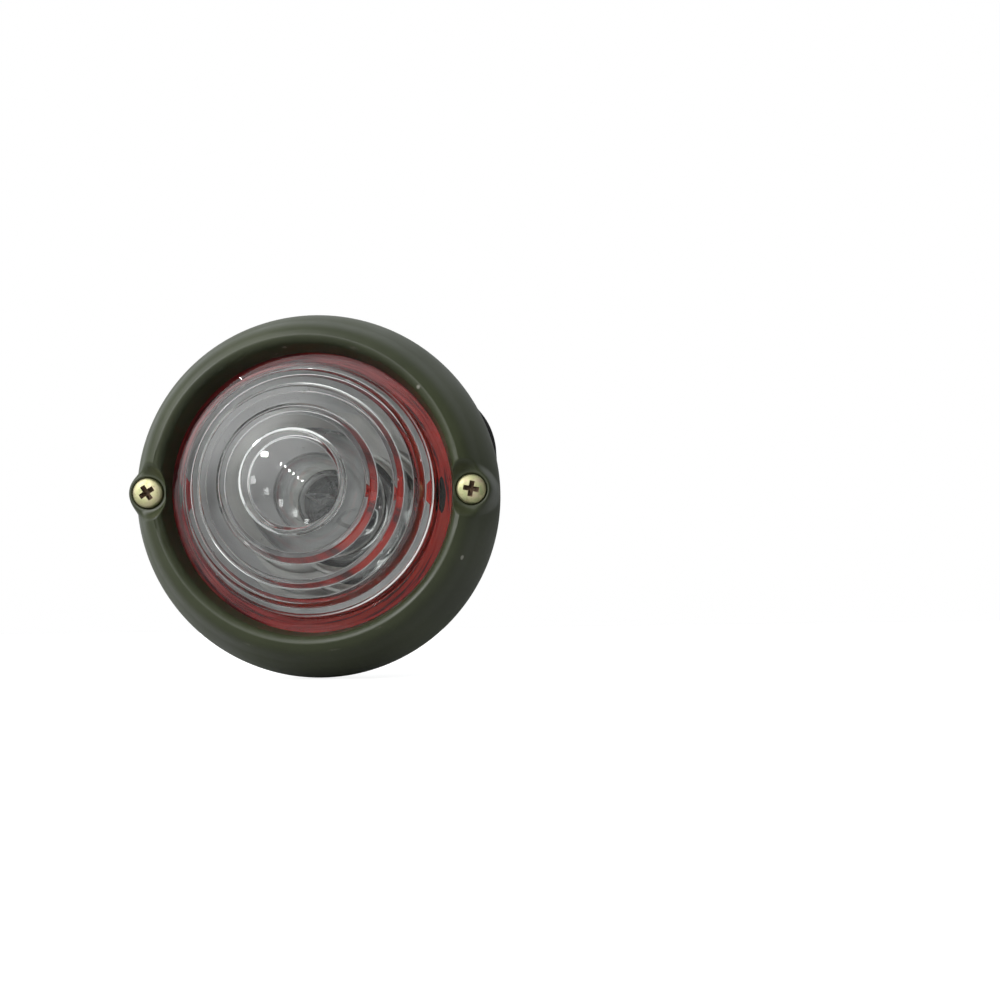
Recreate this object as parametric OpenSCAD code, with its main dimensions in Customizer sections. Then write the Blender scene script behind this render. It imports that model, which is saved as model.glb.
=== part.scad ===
// Round parking light for the front of a utility vehicle.
// It bolts to a flat panel by two studs, and its cup goes through a round hole in that panel.
// Each piece is drawn with its axis up and its panel side at zero, then turned so that the lens
// looks along -Y and +Z is up. The origin is the centre of the pad's panel side.

/* [Pad and studs] */
// Thickness of the rubber pad between the light and the panel
pad_t = 2.5; // [2.2:0.1:4]
// How far the pad's round edge lies inside the bezel's edge
pad_inset = 0.6; // [0.3:0.1:1.2]
// How far each of the pad's two ears reaches past its round edge
ear_out = 1.6; // [0.8:0.1:4]
// Radius of each ear's round end
ear_r = 18; // [12:0.5:24]
// Angle of the ears and studs above horizontal
stud_angle = 21; // [20:1:60]
// How far each stud's centre lies inside the pad's round edge
stud_in = 10; // [9:0.1:12]
// Diameter of a stud
stud_d = 5; // [4:0.1:6]
// Length of a stud behind the pad
stud_len = 16; // [10:0.5:25]
// Diameter of the welded collar on a stud
collar_d = 9; // [8:0.1:9.6]
// Thickness of that collar
collar_t = 1.5; // [1:0.1:1.8]

/* [Bezel] */
// Width of the bezel from its mouth out to its widest line
bezel_w = 12.7; // [12.4:0.1:15]
// Wall of the pressed bezel, at its crest and at its widest line
bezel_wall = 1.4; // [1.2:0.1:1.6]
// Radius of the mouth that the lens shows through
mouth_r = 37.9; // [35:0.1:42]
// How far outside the mouth the crest lies
crest_out = 3.1; // [2.8:0.1:3.3]
// Height of the crest above the lens edge
crest_h = 7.2; // [6.4:0.1:9]
// How full the flank below the crest is, from 1 for a straight cone to 2 for a quarter ellipse
flank_bow = 1.3; // [1.25:0.05:1.6]
// Radius that rounds the crest into the mouth
crest_round = 1.4; // [1:0.1:1.6]
// Height of the skirt from the back rim to the widest line
skirt_h = 2.6; // [2:0.1:4]
// How far the skirt draws in at the back rim
skirt_draft = 0.3; // [0:0.1:0.5]
// Width of the lip that holds the lens
lip_w = 1.4; // [1.1:0.1:1.6]

/* [Bezel screws] */
// How far each screw's centre lies outside the bezel's mouth
screw_out = 5.4; // [5.2:0.1:5.9]
// Thread diameter
screw_d = 4; // [3.5:0.1:4.2]
// Length of a screw under its head
screw_len = 12; // [10:0.5:12.5]
// Head diameter
head_d = 8; // [7.4:0.1:8.4]
// Head height
head_h = 2.3; // [1.8:0.1:3]
// Width of a driver recess across its arms
recess_w = 4.4; // [3.6:0.1:4.8]
// Thickness of one arm of that recess
recess_arm = 1.05; // [0.8:0.05:1.3]
// Depth of that recess
recess_depth = 1.5; // [1:0.1:1.7]
// Turn of the left screw's recess
recess_turn_left = 33; // [0:1:89]
// Turn of the right screw's recess
recess_turn_right = -10; // [-44:1:45]
// Thickness of the sealing washer under each head
seal_t = 0.5; // [0.3:0.1:0.8]
// Metal under the screw pocket
boss_floor = 1.4; // [1.2:0.1:1.8]
// Depth of the pocket that the head sits in
pocket_d = 1.8; // [1.2:0.1:2.2]
// Gap round the head in its pocket
pocket_gap = 0.4; // [0.3:0.1:0.5]
// Wall round the pocket
boss_wall = 0.7; // [0.5:0.1:0.9]
// How much wider the boss is where it meets the bezel
boss_flare = 1.7; // [1:0.1:2]
// How much wider the dish round the head is at the crest
dish_flare = 1.6; // [1.2:0.1:2.4]

/* [Lens] */
// How far the lens flange reaches under the lip
lens_grip = 2.7; // [2.4:0.1:2.9]
// Thickness of the lens flange
flange_t = 3; // [2.5:0.1:4]
// Height of the lens above its flange
lens_h = 24.9; // [24:0.1:26]
// Radius of the smooth bull's-eye in the middle
eye_r = 12.4; // [11:0.1:13]
// Height of the bull's-eye from its edge to its middle
eye_rise = 1.5; // [1:0.1:2.5]
// Thickness of the bull's-eye in its middle
eye_t = 6.2; // [5:0.1:7]
// Width of the flat ring between the dome's foot and the bezel's mouth
foot_in = 3.6; // [3:0.1:4.4]
// Drop from the edge of one step to the edge of the next
step_drop = 4.05; // [3.9:0.05:4.3]
// Radial width of the steep slope below each edge
riser_w = 1.6; // [1.3:0.1:1.8]
// Slope of the broad part of each step
tread_slope = 26; // [22:1:28]
// Thickness of the glass under the middle of each step
lens_wall = 3.2; // [3:0.1:3.6]
// How far each inner ledge lies inside the outer edge above it
ledge_in = 1.5; // [1.2:0.1:1.8]
// Slope of the inner face of each step, down towards the axis
ledge_slope = 19.5; // [16:0.5:21]
// Wall between the lens's bore and its lowest edge
bore_wall = 0.7; // [0.5:0.1:1]

/* [Gasket] */
// Height of the gasket under the lens flange
seat_t = 7.5; // [7:0.1:9]
// How far the gasket shows inside the bezel's mouth
gasket_in = 5.9; // [5:0.1:6.4]
// How far each of its two locating ears reaches inside that edge
gasket_ear = 5.5; // [4:0.1:6]
// Half width of an ear at its root
ear_half = 8.5; // [7:0.1:10]
// How far the gasket reaches past the screw centres
gasket_out = 3.3; // [2.8:0.1:3.5]
// How far its rim stops short of the bezel's lip
gasket_rim_gap = 0.4; // [0.3:0.1:1]
// How far its rim leans in under the bezel's flank
gasket_lean = 1.5; // [1.2:0.1:2]

/* [Housing pan] */
// Sheet thickness of the pan
pan_t = 1; // [0.8:0.1:1.4]
// Gap between the pan's edge and the bezel's skirt
pan_gap = 0.5; // [0.4:0.1:1]
// Outside radius of the cup that goes through the panel
cup_r = 29; // [26:0.1:29.4]
// Depth of the cup's straight wall behind the panel side of the pad
cup_depth = 10; // [8:0.1:12]
// Outside radius of the cup's bottom corner
cup_round = 3; // [2:0.1:4]
// Gap between the cup and the pad's hole
cup_gap = 1.5; // [1.2:0.1:2]
// Diameter of a tapped post
post_d = 8; // [7.6:0.1:8.2]
// Gap between a post's top and the lens flange
post_gap = 1; // [0.6:0.1:1.5]
// Diameter of the post's riveted spigot
spigot_d = 5.6; // [5.2:0.1:6]
// Diameter of the drain hole at the bottom of the cup
drain_d = 3; // [2:0.1:4]

/* [Bulb] */
// Diameter of the bulb's glass
bulb_d = 19; // [17:0.1:20]
// Distance from the bayonet pins up to the filament
light_centre = 19; // [18:0.1:21]
// Height of the bayonet pins above the panel side of the pad, below it when negative
pin_h = -7; // [-8:0.1:-6.5]
// Diameter of the cap
cap_d = 15; // [14:0.1:17]
// Length of the cap below its pins
cap_below = 6.5; // [6:0.1:7]
// Length of the cap above its pins
cap_above = 7; // [6:0.1:7.5]
// Diameter of a bayonet pin
pin_d = 2; // [1.8:0.1:2.2]
// How far each pin stands out of the cap
pin_out = 1; // [0.8:0.1:1.2]
// Wall of the cap
cap_wall = 0.35; // [0.25:0.05:0.5]
// Gap for the lamp cement between the cap and the glass neck
cement_gap = 0.55; // [0.4:0.05:0.8]
// Height of the glass stem's flared foot
stem_foot = 3.5; // [3:0.1:4]
// Height of the flat pinch on top of the stem
pinch_h = 3.5; // [2.5:0.1:4.5]
// Width of that pinch
pinch_w = 5.2; // [4:0.1:6]
// Depth of the glass neck inside the cap
neck_in = 2.5; // [2:0.1:3]
// Thickness of the bulb's glass
bulb_glass_t = 0.5; // [0.4:0.1:0.8]
// Width of the filament between its two leads
filament_w = 5; // [3:0.1:6]

/* [Socket] */
// Gap between the bulb's cap and the socket
socket_gap = 0.1; // [0.05:0.01:0.15]
// Wall of the socket shell
socket_wall = 0.6; // [0.5:0.1:0.8]
// How far the socket's mouth lies above the pins at rest
mouth_above = 4.5; // [3.5:0.1:5]
// How far the bulb pushes in before it can turn
push = 2.5; // [1.5:0.1:3]
// Turn between the entry slots and the bulb's place
bayonet_turn = 25; // [22:1:30]
// Gap round a bayonet pin in its slot
slot_gap = 0.15; // [0.1:0.05:0.25]
// Length of the contact spring
spring_len = 7; // [6:0.1:9]
// Wire diameter of the contact spring
spring_wire = 0.7; // [0.5:0.05:0.9]
// Turns of the contact spring
spring_turns = 5; // [4:1:7]
// Thickness of the fibre discs in the socket
disc_t = 2; // [1.5:0.1:2.5]
// Width of a terminal blade
blade_w = 6.3; // [4.8:0.1:6.4]
// Length of the live terminal's blade
blade_len = 9; // [7:0.1:12]
// Thickness of a terminal blade
blade_t = 0.8; // [0.5:0.1:1]
// Radius of the live terminal's round foot
foot_disc_r = 4; // [3.4:0.1:5]
// Radius of the terminal and socket rivets
rivet_r = 1.2; // [1:0.1:1.4]
// How much wider a rivet's head is than its shank
rivet_head = 0.8; // [0.6:0.1:1]
// Height of a rivet's head
rivet_h = 0.8; // [0.5:0.1:1]

/* [Hidden] */
$fn = 96;

// Running gap of a screw in its post, and of the fibre carrier in the socket
run_gap = 0.05;
// Gap between a screw's shank and the plain holes round it
hole_gap = 0.25;
// Gap between parts that only pass each other
pass_gap = 0.3;
// Depth past a surface at which a cut starts, so that no skin is left
over = 1;
// Flat land between a screw boss and the dish's slope
dish_land = 0.2;

bezel_r = mouth_r + bezel_w;
screw_place_r = mouth_r + screw_out;
foot_r = mouth_r - foot_in;
gasket_in_r = mouth_r - gasket_in;
pad_r = bezel_r - pad_inset;
stud_place_r = pad_r - stud_in;
neck_r = cap_d / 2 - cap_wall - cement_gap;
neck_bottom = pin_h + cap_above - neck_in;
pan_back = pad_t;
pan_face = pan_back + pan_t;
lens_back = pan_face + seat_t;
lip_h = lens_back + flange_t;
lens_r = mouth_r + lens_grip;

crest_r = mouth_r + crest_out;
crest_top = lip_h + crest_h;
widest_h = pad_t + skirt_h;

seat_h = lip_h + boss_floor;
boss_top = seat_h + pocket_d;
pocket_r = head_d / 2 + pocket_gap;
boss_r = pocket_r + boss_wall;
head_seat = seat_h + seal_t;
screw_tip = head_seat - screw_len;
screw_r = screw_d / 2;

post_top = lens_back - post_gap;
post_r = post_d / 2;

pan_r = bezel_r - skirt_draft - bezel_wall - pan_gap;
cup_floor_back = -cup_depth - cup_round;
cup_floor = cup_floor_back + pan_t;

filament_h = pin_h + light_centre;
cap_bottom = pin_h - cap_below;
cap_top = pin_h + cap_above;
cap_bevel = 1.2;
cap_hole_r = cap_d / 2 - cap_bevel - 1;
contact_t = 1;
contact_r = 2.5;
contact_h = cap_bottom - contact_t;
lead_r = 0.3;
stem_top = neck_bottom + stem_foot + cap_wall;
socket_bore = cap_d / 2 + socket_gap;
socket_r = socket_bore + socket_wall;
socket_mouth = pin_h + mouth_above;
carrier_face = contact_h - 0.5;
carrier_back = carrier_face - disc_t;
insulator_face = carrier_back - spring_len;
insulator_back = insulator_face - disc_t;
crimp_t = socket_wall;
socket_flange_t = socket_wall + 0.2;
contact_pin_r = 1.5;
rivet_ring_r = socket_r + 2 * rivet_head + rivet_r;
earth_rivet = 180;

// Points along an ellipse arc from one angle to another, ends included
function arc(cx, cy, rx, ry, from, to, n) =
    [for (i = [0 : n]) [cx + rx * cos(from + (to - from) * i / n), cy + ry * sin(from + (to - from) * i / n)]];

// Points from the top to the side of a flank that is fuller than a cone and flatter than an ellipse
function flank(cx, cy, rx, ry, n) =
    [for (i = [0 : n]) let (t = 90 - 90 * i / n)
        [cx + rx * pow(max(0, cos(t)), 2 / flank_bow), cy + ry * pow(max(0, sin(t)), 2 / flank_bow)]];

// The direction in which a line from a point just touches a circle, on its left
function tangent_angle(px, py, cx, cy, r) =
    atan2(cy - py, cx - px) + asin(r / norm([cx - px, cy - py]));

// Turns a piece drawn with its axis up so that its front looks along -Y
module facing_front() {
    rotate([90, 0, 0]) children();
}

// Copies something drawn at the centre to both bezel screws
module at_screws() {
    for (side = [-1, 1]) translate([side * screw_place_r, 0, 0]) children();
}

// Copies something drawn at the centre to both mounting studs
module at_studs() {
    for (turn = [0, 180]) rotate([0, 0, stud_angle + turn]) translate([stud_place_r, 0, 0]) children();
}

// A straight round hole or rod between two heights
module rod(r, low, high) {
    translate([0, 0, low]) cylinder(r = r, h = high - low);
}

// Outline of the pad: a disc with two broad ears, joined by straight tangents
module pad_outline() {
    ear_place = pad_r + ear_out - ear_r;
    lean = acos((pad_r - ear_r) / ear_place);
    circle(r = pad_r);
    for (turn = [0, 180]) rotate(stud_angle + turn) {
        translate([ear_place, 0]) circle(r = ear_r);
        polygon([
            [pad_r * cos(lean), -pad_r * sin(lean)],
            [ear_place + ear_r * cos(lean), -ear_r * sin(lean)],
            [ear_place + ear_r * cos(lean), ear_r * sin(lean)],
            [pad_r * cos(lean), pad_r * sin(lean)],
        ]);
    }
}

module mounting_pad() {
    color("#1c1c1c") facing_front() difference() {
        linear_extrude(pad_t) pad_outline();
        rod(cup_r + cup_gap, -over, pad_t + over);
        at_screws() rod(spigot_d / 2 + 1.2, -over, pad_t + over);
        at_studs() rod(collar_d / 2 + pass_gap, -over, pad_t + over);
    }
}

module mounting_studs() {
    color("#b9b9b2") facing_front() at_studs() {
        rod(collar_d / 2, pan_back - collar_t, pan_back);
        rotate_extrude() polygon([
            [0, -stud_len],
            [stud_d / 2 - 0.6, -stud_len],
            [stud_d / 2, -stud_len + 0.6],
            [stud_d / 2, pan_back - collar_t],
            [0, pan_back - collar_t],
        ]);
    }
}

// Half section of the pan: flange, cup wall, rounded corner and floor
function pan_section() = concat(
    [[pan_r, pan_back], [pan_r, pan_face]],
    arc(cup_r + 0.6, pan_face - pan_t - 0.6, pan_t + 0.6 + 0.6 - 0.6, pan_t + 0.6, 90, 180, 6),
    arc(cup_r - cup_round, -cup_depth, cup_round - pan_t, cup_round - pan_t, 0, -90, 8),
    [[0, cup_floor], [0, cup_floor_back]],
    arc(cup_r - cup_round, -cup_depth, cup_round, cup_round, -90, 0, 8),
    [[cup_r, pan_back]]
);

module housing_pan() {
    color("#a9adad") facing_front() difference() {
        rotate_extrude() polygon(pan_section());
        rod(socket_r + pass_gap, cup_floor_back - over, cup_floor + over);
        at_screws() rod(spigot_d / 2, pan_back - over, pan_face + over);
        for (turn = [60, 180, 300])
            rotate([0, 0, turn]) translate([rivet_ring_r, 0, 0]) rod(rivet_r, cup_floor_back - over, cup_floor + over);
        translate([0, -(cup_r - cup_round - drain_d), 0]) rod(drain_d / 2, cup_floor_back - over, cup_floor + over);
    }
}

// Tapped posts for the bezel screws, riveted through the pan
module screw_posts() {
    rivet_r2 = spigot_d / 2 + 0.7;
    color("#8d8f8c") facing_front() at_screws() difference() {
        rotate_extrude() polygon([
            [0, pan_back - 0.8],
            [rivet_r2 - 0.3, pan_back - 0.8],
            [rivet_r2, pan_back - 0.5],
            [rivet_r2, pan_back],
            [spigot_d / 2, pan_back],
            [spigot_d / 2, pan_face],
            [post_r, pan_face],
            [post_r, post_top - 0.4],
            [post_r - 0.4, post_top],
            [0, post_top],
        ]);
        rod(screw_r + run_gap, screw_tip - 0.8, post_top + over);
    }
}

// Red rubber ring that carries the lens and seals it against the pan
module lens_gasket() {
    rim_in_r = lens_r + 0.4;
    out_r = screw_place_r + gasket_out;
    color("#c0261c") facing_front() difference() {
        union() {
            rotate_extrude() polygon([
                [gasket_in_r, pan_face],
                [out_r, pan_face],
                [out_r, post_top],
                [out_r - gasket_lean, lip_h - gasket_rim_gap],
                [rim_in_r, lip_h - gasket_rim_gap],
                [rim_in_r, lens_back],
                [gasket_in_r, lens_back],
            ]);
            for (turn = [0, 180]) rotate(turn) translate([0, 0, pan_face]) linear_extrude(seat_t) polygon([
                [gasket_in_r + 1, -ear_half],
                [gasket_in_r + 1, ear_half],
                [gasket_in_r - gasket_ear, 1],
                [gasket_in_r - gasket_ear, -1],
            ]);
        }
        at_screws() {
            rod(post_r + pass_gap, pan_face - over, post_top + pass_gap);
            rod(screw_r + hole_gap, post_top, lip_h + over);
        }
        translate([-screw_place_r, -screw_r - hole_gap, lens_back])
            cube([2 * screw_place_r, 2 * (screw_r + hole_gap), flange_t + over]);
    }
}

// Number of steps between the bull's-eye and the foot
step_count = 4;
eye_h = lip_h + lens_h - eye_rise;
bore_r = edge_r(step_count) - bore_wall;

// Radius and height of each step's outer edge, counted from the bull's-eye
function edge_r(i) = eye_r + (foot_r - eye_r) * sin(90 * i / (step_count + 1));
function edge_h(i) = eye_h - step_drop * i;

// Foot of the steep slope above one step
function slope_foot(i) = [
    edge_r(i - 1) + riser_w,
    edge_h(i) + (edge_r(i) - edge_r(i - 1) - riser_w) * tan(tread_slope),
];

// Point on the inner face of one step at a given radius
function ledge(i, r) =
    let (middle = (edge_r(i) + slope_foot(i)[0]) / 2)
    [r, edge_h(i) + (edge_r(i) - middle) * tan(tread_slope) - lens_wall + (r - middle) * tan(ledge_slope)];

module lens() {
    eye_sphere = (eye_r * eye_r + eye_rise * eye_rise) / (2 * eye_rise);
    color("#dfe8e8", 0.45) facing_front() rotate_extrude() polygon(concat(
        [[0, lip_h + lens_h - eye_t], [edge_r(0) - ledge_in, lip_h + lens_h - eye_t]],
        [for (i = [1 : step_count])
            each [ledge(i, edge_r(i - 1) - ledge_in), ledge(i, i < step_count ? edge_r(i) - ledge_in : bore_r)]],
        [[bore_r, lens_back], [lens_r, lens_back], [lens_r, lip_h], [foot_r, lip_h]],
        [for (i = [step_count : -1 : 1]) each [[edge_r(i), edge_h(i)], slope_foot(i)]],
        arc(0, lip_h + lens_h - eye_sphere, eye_sphere, eye_sphere, 90 - asin(eye_r / eye_sphere), 90, 8)
    ));
}

// Outside of the bezel from its mouth: inner wall, rounded crest, flank down to the widest line
function bezel_outside() = concat(
    [[mouth_r, lip_h]],
    arc(crest_r, crest_top - crest_round, crest_round, crest_round,
        tangent_angle(mouth_r, lip_h, crest_r, crest_top - crest_round, crest_round) + 90, 90, 6),
    [for (p = flank(crest_r, widest_h, bezel_r - crest_r, crest_top - widest_h, 24)) if (p[0] > crest_r) p]
);

// Half section of the bezel: its outside, the skirt, then back along the inside
function bezel_section() = concat(
    bezel_outside(),
    [[bezel_r - skirt_draft, pan_back], [bezel_r - skirt_draft - bezel_wall, pan_back]],
    bezel_inside(),
    [[mouth_r + lip_w, lip_h]]
);

// Inside of the bezel from its skirt up to under the crest
function bezel_inside() =
    let (side = flank(crest_r, widest_h, bezel_r - bezel_wall - crest_r, crest_top - bezel_wall - widest_h, 18))
    [for (i = [len(side) - 1 : -1 : 0]) side[i]];

// The hollow under the bezel, as a solid to cut with
module bezel_hollow() {
    rotate_extrude() polygon(concat(
        [[0, widest_h - over], [bezel_r - bezel_wall, widest_h - over]],
        bezel_inside(),
        [[mouth_r + lip_w, lip_h], [0, lip_h]]
    ));
}

// Body of one screw boss, wider at its foot, standing over the bezel
module screw_boss() {
    foot_h = widest_h + 2;
    rotate_extrude() polygon(concat(
        [[0, foot_h], [boss_r + boss_flare, foot_h]],
        arc(boss_r + boss_flare, boss_top - 0.4, boss_flare, boss_top - 0.4 - foot_h - over, -90 - 1, -180, 8),
        [[boss_r, boss_top], [0, boss_top]]
    ));
}

// Dish that lets the head sit below the crest, or the metal under it when it is grown by the bezel's wall
module screw_dish(grow) {
    top = crest_top + over;
    rotate_extrude() polygon(concat(
        [[0, boss_top - grow]],
        arc(boss_r + dish_land, top, dish_flare + grow, top - boss_top + grow, -90, 0, 8),
        [[0, top]]
    ));
}

module bezel() {
    color("#4b4e42") facing_front() difference() {
        union() {
            rotate_extrude() polygon(bezel_section());
            difference() {
                at_screws() screw_boss();
                bezel_hollow();
            }
            at_screws() rod(boss_r, lip_h, boss_top);
            intersection() {
                rotate_extrude() polygon(concat(bezel_outside(), [[mouth_r, widest_h]]));
                at_screws() screw_dish(bezel_wall);
            }
        }
        at_screws() {
            screw_dish(0);
            rod(pocket_r, seat_h, crest_top + over);
            rod(screw_r + hole_gap, lip_h - over, crest_top);
        }
    }
}

// Pan-head machine screw with a cross recess
module screw(turn) {
    round_h = head_h * 0.35;
    difference() {
        rotate_extrude() polygon(concat(
            [[0, screw_tip], [screw_r - 0.5, screw_tip], [screw_r, screw_tip + 0.5], [screw_r, head_seat],
                [head_d / 2, head_seat]],
            arc(head_d / 2 - round_h, head_seat + head_h - round_h, round_h, round_h, 0, 90, 6),
            [[0, head_seat + head_h]]
        ));
        rotate([0, 0, turn]) for (quarter = [0, 90]) rotate([0, 0, quarter])
            translate([-recess_w / 2, -recess_arm / 2, head_seat + head_h - recess_depth])
                cube([recess_w, recess_arm, recess_depth + over]);
    }
}

module bezel_screw_left() {
    color("#d8cf8e") facing_front() translate([-screw_place_r, 0, 0]) screw(recess_turn_left);
}

module bezel_screw_right() {
    color("#d8cf8e") facing_front() translate([screw_place_r, 0, 0]) screw(recess_turn_right);
}

// Soft washer held captive under a screw's head
module screw_seal() {
    difference() {
        rod(head_d / 2 - 0.2, seat_h, head_seat);
        rod(screw_r + run_gap, seat_h - over, head_seat + over);
    }
}

module screw_seal_left() {
    color("#262626") facing_front() translate([-screw_place_r, 0, 0]) screw_seal();
}

module screw_seal_right() {
    color("#262626") facing_front() translate([screw_place_r, 0, 0]) screw_seal();
}

// Outline of the bulb's glass at a given inset: globe, fillet, neck
function bulb_section(inset) =
    let (globe = bulb_d / 2 - inset, neck = neck_r - inset, fillet = 4 + inset,
        drop = sqrt(pow(globe + fillet, 2) - pow(neck + fillet, 2)),
        join = atan2(drop, neck + fillet))
    concat(
        arc(0, filament_h, globe, globe, 90, -join, 18),
        [for (p = arc(neck + fillet, filament_h - drop, fillet, fillet, 180 - join, 180, 6))
            if (p[0] < globe * cos(join) - 0.01) p],
        [[neck, neck_bottom]]
    );

module bulb_glass() {
    inner = bulb_section(bulb_glass_t);
    color("#eef2f2", 0.35) facing_front() rotate_extrude() polygon(concat(
        bulb_section(0),
        [for (i = [len(inner) - 1 : -1 : 0]) inner[i]]
    ));
}

// Flared glass tube inside the neck, pinched where the leads pass
module bulb_stem() {
    edge = neck_r - bulb_glass_t - pass_gap;
    thick = pinch_w / 3;
    color("#e3e8e8", 0.5) facing_front() {
        rotate_extrude() polygon([
            [0, neck_bottom + stem_foot / 2],
            [0, stem_top],
            [pinch_w / 2.6, stem_top],
            [edge * 0.6, neck_bottom + stem_foot / 2.4],
            [edge, neck_bottom + stem_foot / 7],
            [edge, neck_bottom],
            [edge / 2, neck_bottom + stem_foot / 7],
        ]);
        translate([-pinch_w / 2, -thick / 2, stem_top - thick / 3]) cube([pinch_w, thick, pinch_h + thick / 3]);
    }
}

module bulb_leads() {
    color("#7d7a72") facing_front() for (side = [-1, 1])
        translate([side * (filament_w / 2 - lead_r), 0, 0]) rod(lead_r, stem_top + pinch_h, filament_h);
}

module bulb_filament() {
    color("#5c5a55") facing_front() translate([0, 0, filament_h]) rotate([90, 0, 0])
        rotate_extrude(angle = 180) translate([filament_w / 2 - lead_r, 0]) circle(r = lead_r, $fn = 16);
}

// Brass bayonet cap with its two pins
module bulb_cap() {
    color("#c9b277") facing_front() {
        rotate_extrude() polygon([
            [cap_d / 2 - cap_wall, cap_top],
            [cap_d / 2, cap_top],
            [cap_d / 2, cap_bottom + cap_bevel],
            [cap_d / 2 - cap_bevel, cap_bottom],
            [cap_hole_r, cap_bottom],
            [cap_hole_r, cap_bottom + cap_wall],
            [cap_d / 2 - cap_bevel - cap_wall / 2, cap_bottom + cap_wall],
            [cap_d / 2 - cap_wall, cap_bottom + cap_bevel + cap_wall / 2],
        ]);
        for (side = [0, 180]) rotate([0, 0, side]) translate([cap_d / 2 - cap_wall / 2, 0, pin_h])
            rotate([0, 90, 0]) cylinder(d = pin_d, h = pin_out + cap_wall / 2);
    }
}

module bulb_insulator() {
    color("#23211f") facing_front() rotate_extrude() polygon([
        [0, cap_bottom],
        [cap_hole_r, cap_bottom],
        [cap_hole_r, cap_bottom + cap_wall],
        [cap_hole_r - cap_wall, cap_bottom + cap_bevel],
        [0, cap_bottom + cap_bevel],
    ]);
}

module bulb_contact() {
    color("#c4c4bf") facing_front() rotate_extrude() polygon([
        [0, contact_h],
        [contact_r - 0.9 * contact_t, contact_h],
        [contact_r, cap_bottom],
        [0, cap_bottom],
    ]);
}

// One bayonet slot, cut through the shell: entry from the mouth, a turn, and the notch where a pin rests
module bayonet_slot() {
    w = pin_d / 2 + slot_gap;
    reach = socket_wall + 2;
    from = socket_bore - 1;
    low = pin_h - push - w;
    rotate([0, 0, -bayonet_turn]) translate([from, -w, low]) cube([reach, 2 * w, socket_mouth - low + over]);
    translate([from, -w, low]) cube([reach, 2 * w, push + 2 * w]);
    rotate([0, 0, -bayonet_turn]) rotate_extrude(angle = bayonet_turn) translate([from, low])
        square([reach, 2 * w]);
}

// Bayonet socket: a tube with a riveting flange, two slots and a crimped end
module socket_shell() {
    color("#b7b4a4") facing_front() difference() {
        union() {
            rotate_extrude() polygon([
                [socket_bore, socket_mouth],
                [socket_r, socket_mouth],
                [socket_r, insulator_back - crimp_t],
                [socket_bore - 1, insulator_back - crimp_t],
                [socket_bore - 1, insulator_back],
                [socket_bore, insulator_back],
            ]);
            difference() {
                rod(rivet_ring_r + rivet_r + rivet_head + 0.6, cup_floor, cup_floor + socket_flange_t);
                rod(socket_bore + socket_wall / 2, cup_floor - over, cup_floor + over);
            }
        }
        for (side = [0, 180]) rotate([0, 0, side]) bayonet_slot();
        for (turn = [60, 180, 300]) rotate([0, 0, turn]) translate([rivet_ring_r, 0, 0])
            rod(rivet_r, cup_floor - over, cup_floor + 2);
    }
}

// Rivets through the socket's flange and the pan, one of them longer by the earth terminal under it
module socket_rivets() {
    head = rivet_r + rivet_head;
    front = cup_floor + socket_flange_t;
    color("#a3a39c") facing_front() for (turn = [60, 180, 300])
        let (back = cup_floor_back - (turn == earth_rivet ? blade_t : 0))
        rotate([0, 0, turn]) translate([rivet_ring_r, 0, 0]) rotate_extrude() polygon([
            [0, back - rivet_h],
            [head - 0.6 * rivet_h, back - rivet_h],
            [head, back - 0.4 * rivet_h],
            [head, back],
            [rivet_r, back],
            [rivet_r, front],
            [head, front],
            [head, front + 0.4 * rivet_h],
            [head - 0.6 * rivet_h, front + rivet_h],
            [0, front + rivet_h],
        ]);
}

// Fibre disc that the spring pushes against the bulb
module contact_carrier() {
    color("#7a4a2c") facing_front() difference() {
        rod(socket_bore - run_gap, carrier_back, carrier_face);
        rod(contact_pin_r, carrier_back - over, carrier_face + over);
    }
}

module contact_pin() {
    color("#c9a94f") facing_front() rotate_extrude() polygon([
        [0, carrier_back - 3],
        [contact_pin_r - 0.4, carrier_back - 3],
        [contact_pin_r, carrier_back - 2.6],
        [contact_pin_r, carrier_face],
        [2.6, carrier_face],
        [2.6, contact_h - 0.1],
        [0, contact_h - 0.1],
    ]);
}

// Points round the wire of the contact spring, ring by ring along its helix
function spring_ring(i, rings, sides) =
    let (coil_r = 3.6, low = insulator_face + spring_wire / 2, high = carrier_back - spring_wire / 2,
        a = 360 * spring_turns * i / rings, h = low + (high - low) * i / rings)
    [for (s = [0 : sides - 1]) let (q = 360 * s / sides, w = spring_wire / 2)
        [(coil_r + w * cos(q)) * cos(a), (coil_r + w * cos(q)) * sin(a), h + w * sin(q)]];

module contact_spring() {
    rings = spring_turns * 24;
    sides = 6;
    points = [for (i = [0 : rings]) each spring_ring(i, rings, sides)];
    walls = [for (i = [0 : rings - 1]) for (s = [0 : sides - 1]) let (t = (s + 1) % sides)
        each [[i * sides + s, (i + 1) * sides + s, i * sides + t],
            [i * sides + t, (i + 1) * sides + s, (i + 1) * sides + t]]];
    low_cap = [for (s = [1 : sides - 2]) [0, s, s + 1]];
    high_cap = [for (s = [1 : sides - 2]) [rings * sides, rings * sides + s + 1, rings * sides + s]];
    color("#b5b5b0") facing_front() polyhedron(points, concat(walls, low_cap, high_cap));
}

module socket_insulator() {
    color("#7a4a2c") facing_front() difference() {
        rod(socket_bore - run_gap, insulator_back, insulator_face);
        rod(rivet_r, insulator_back - over, insulator_face + over);
    }
}

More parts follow.
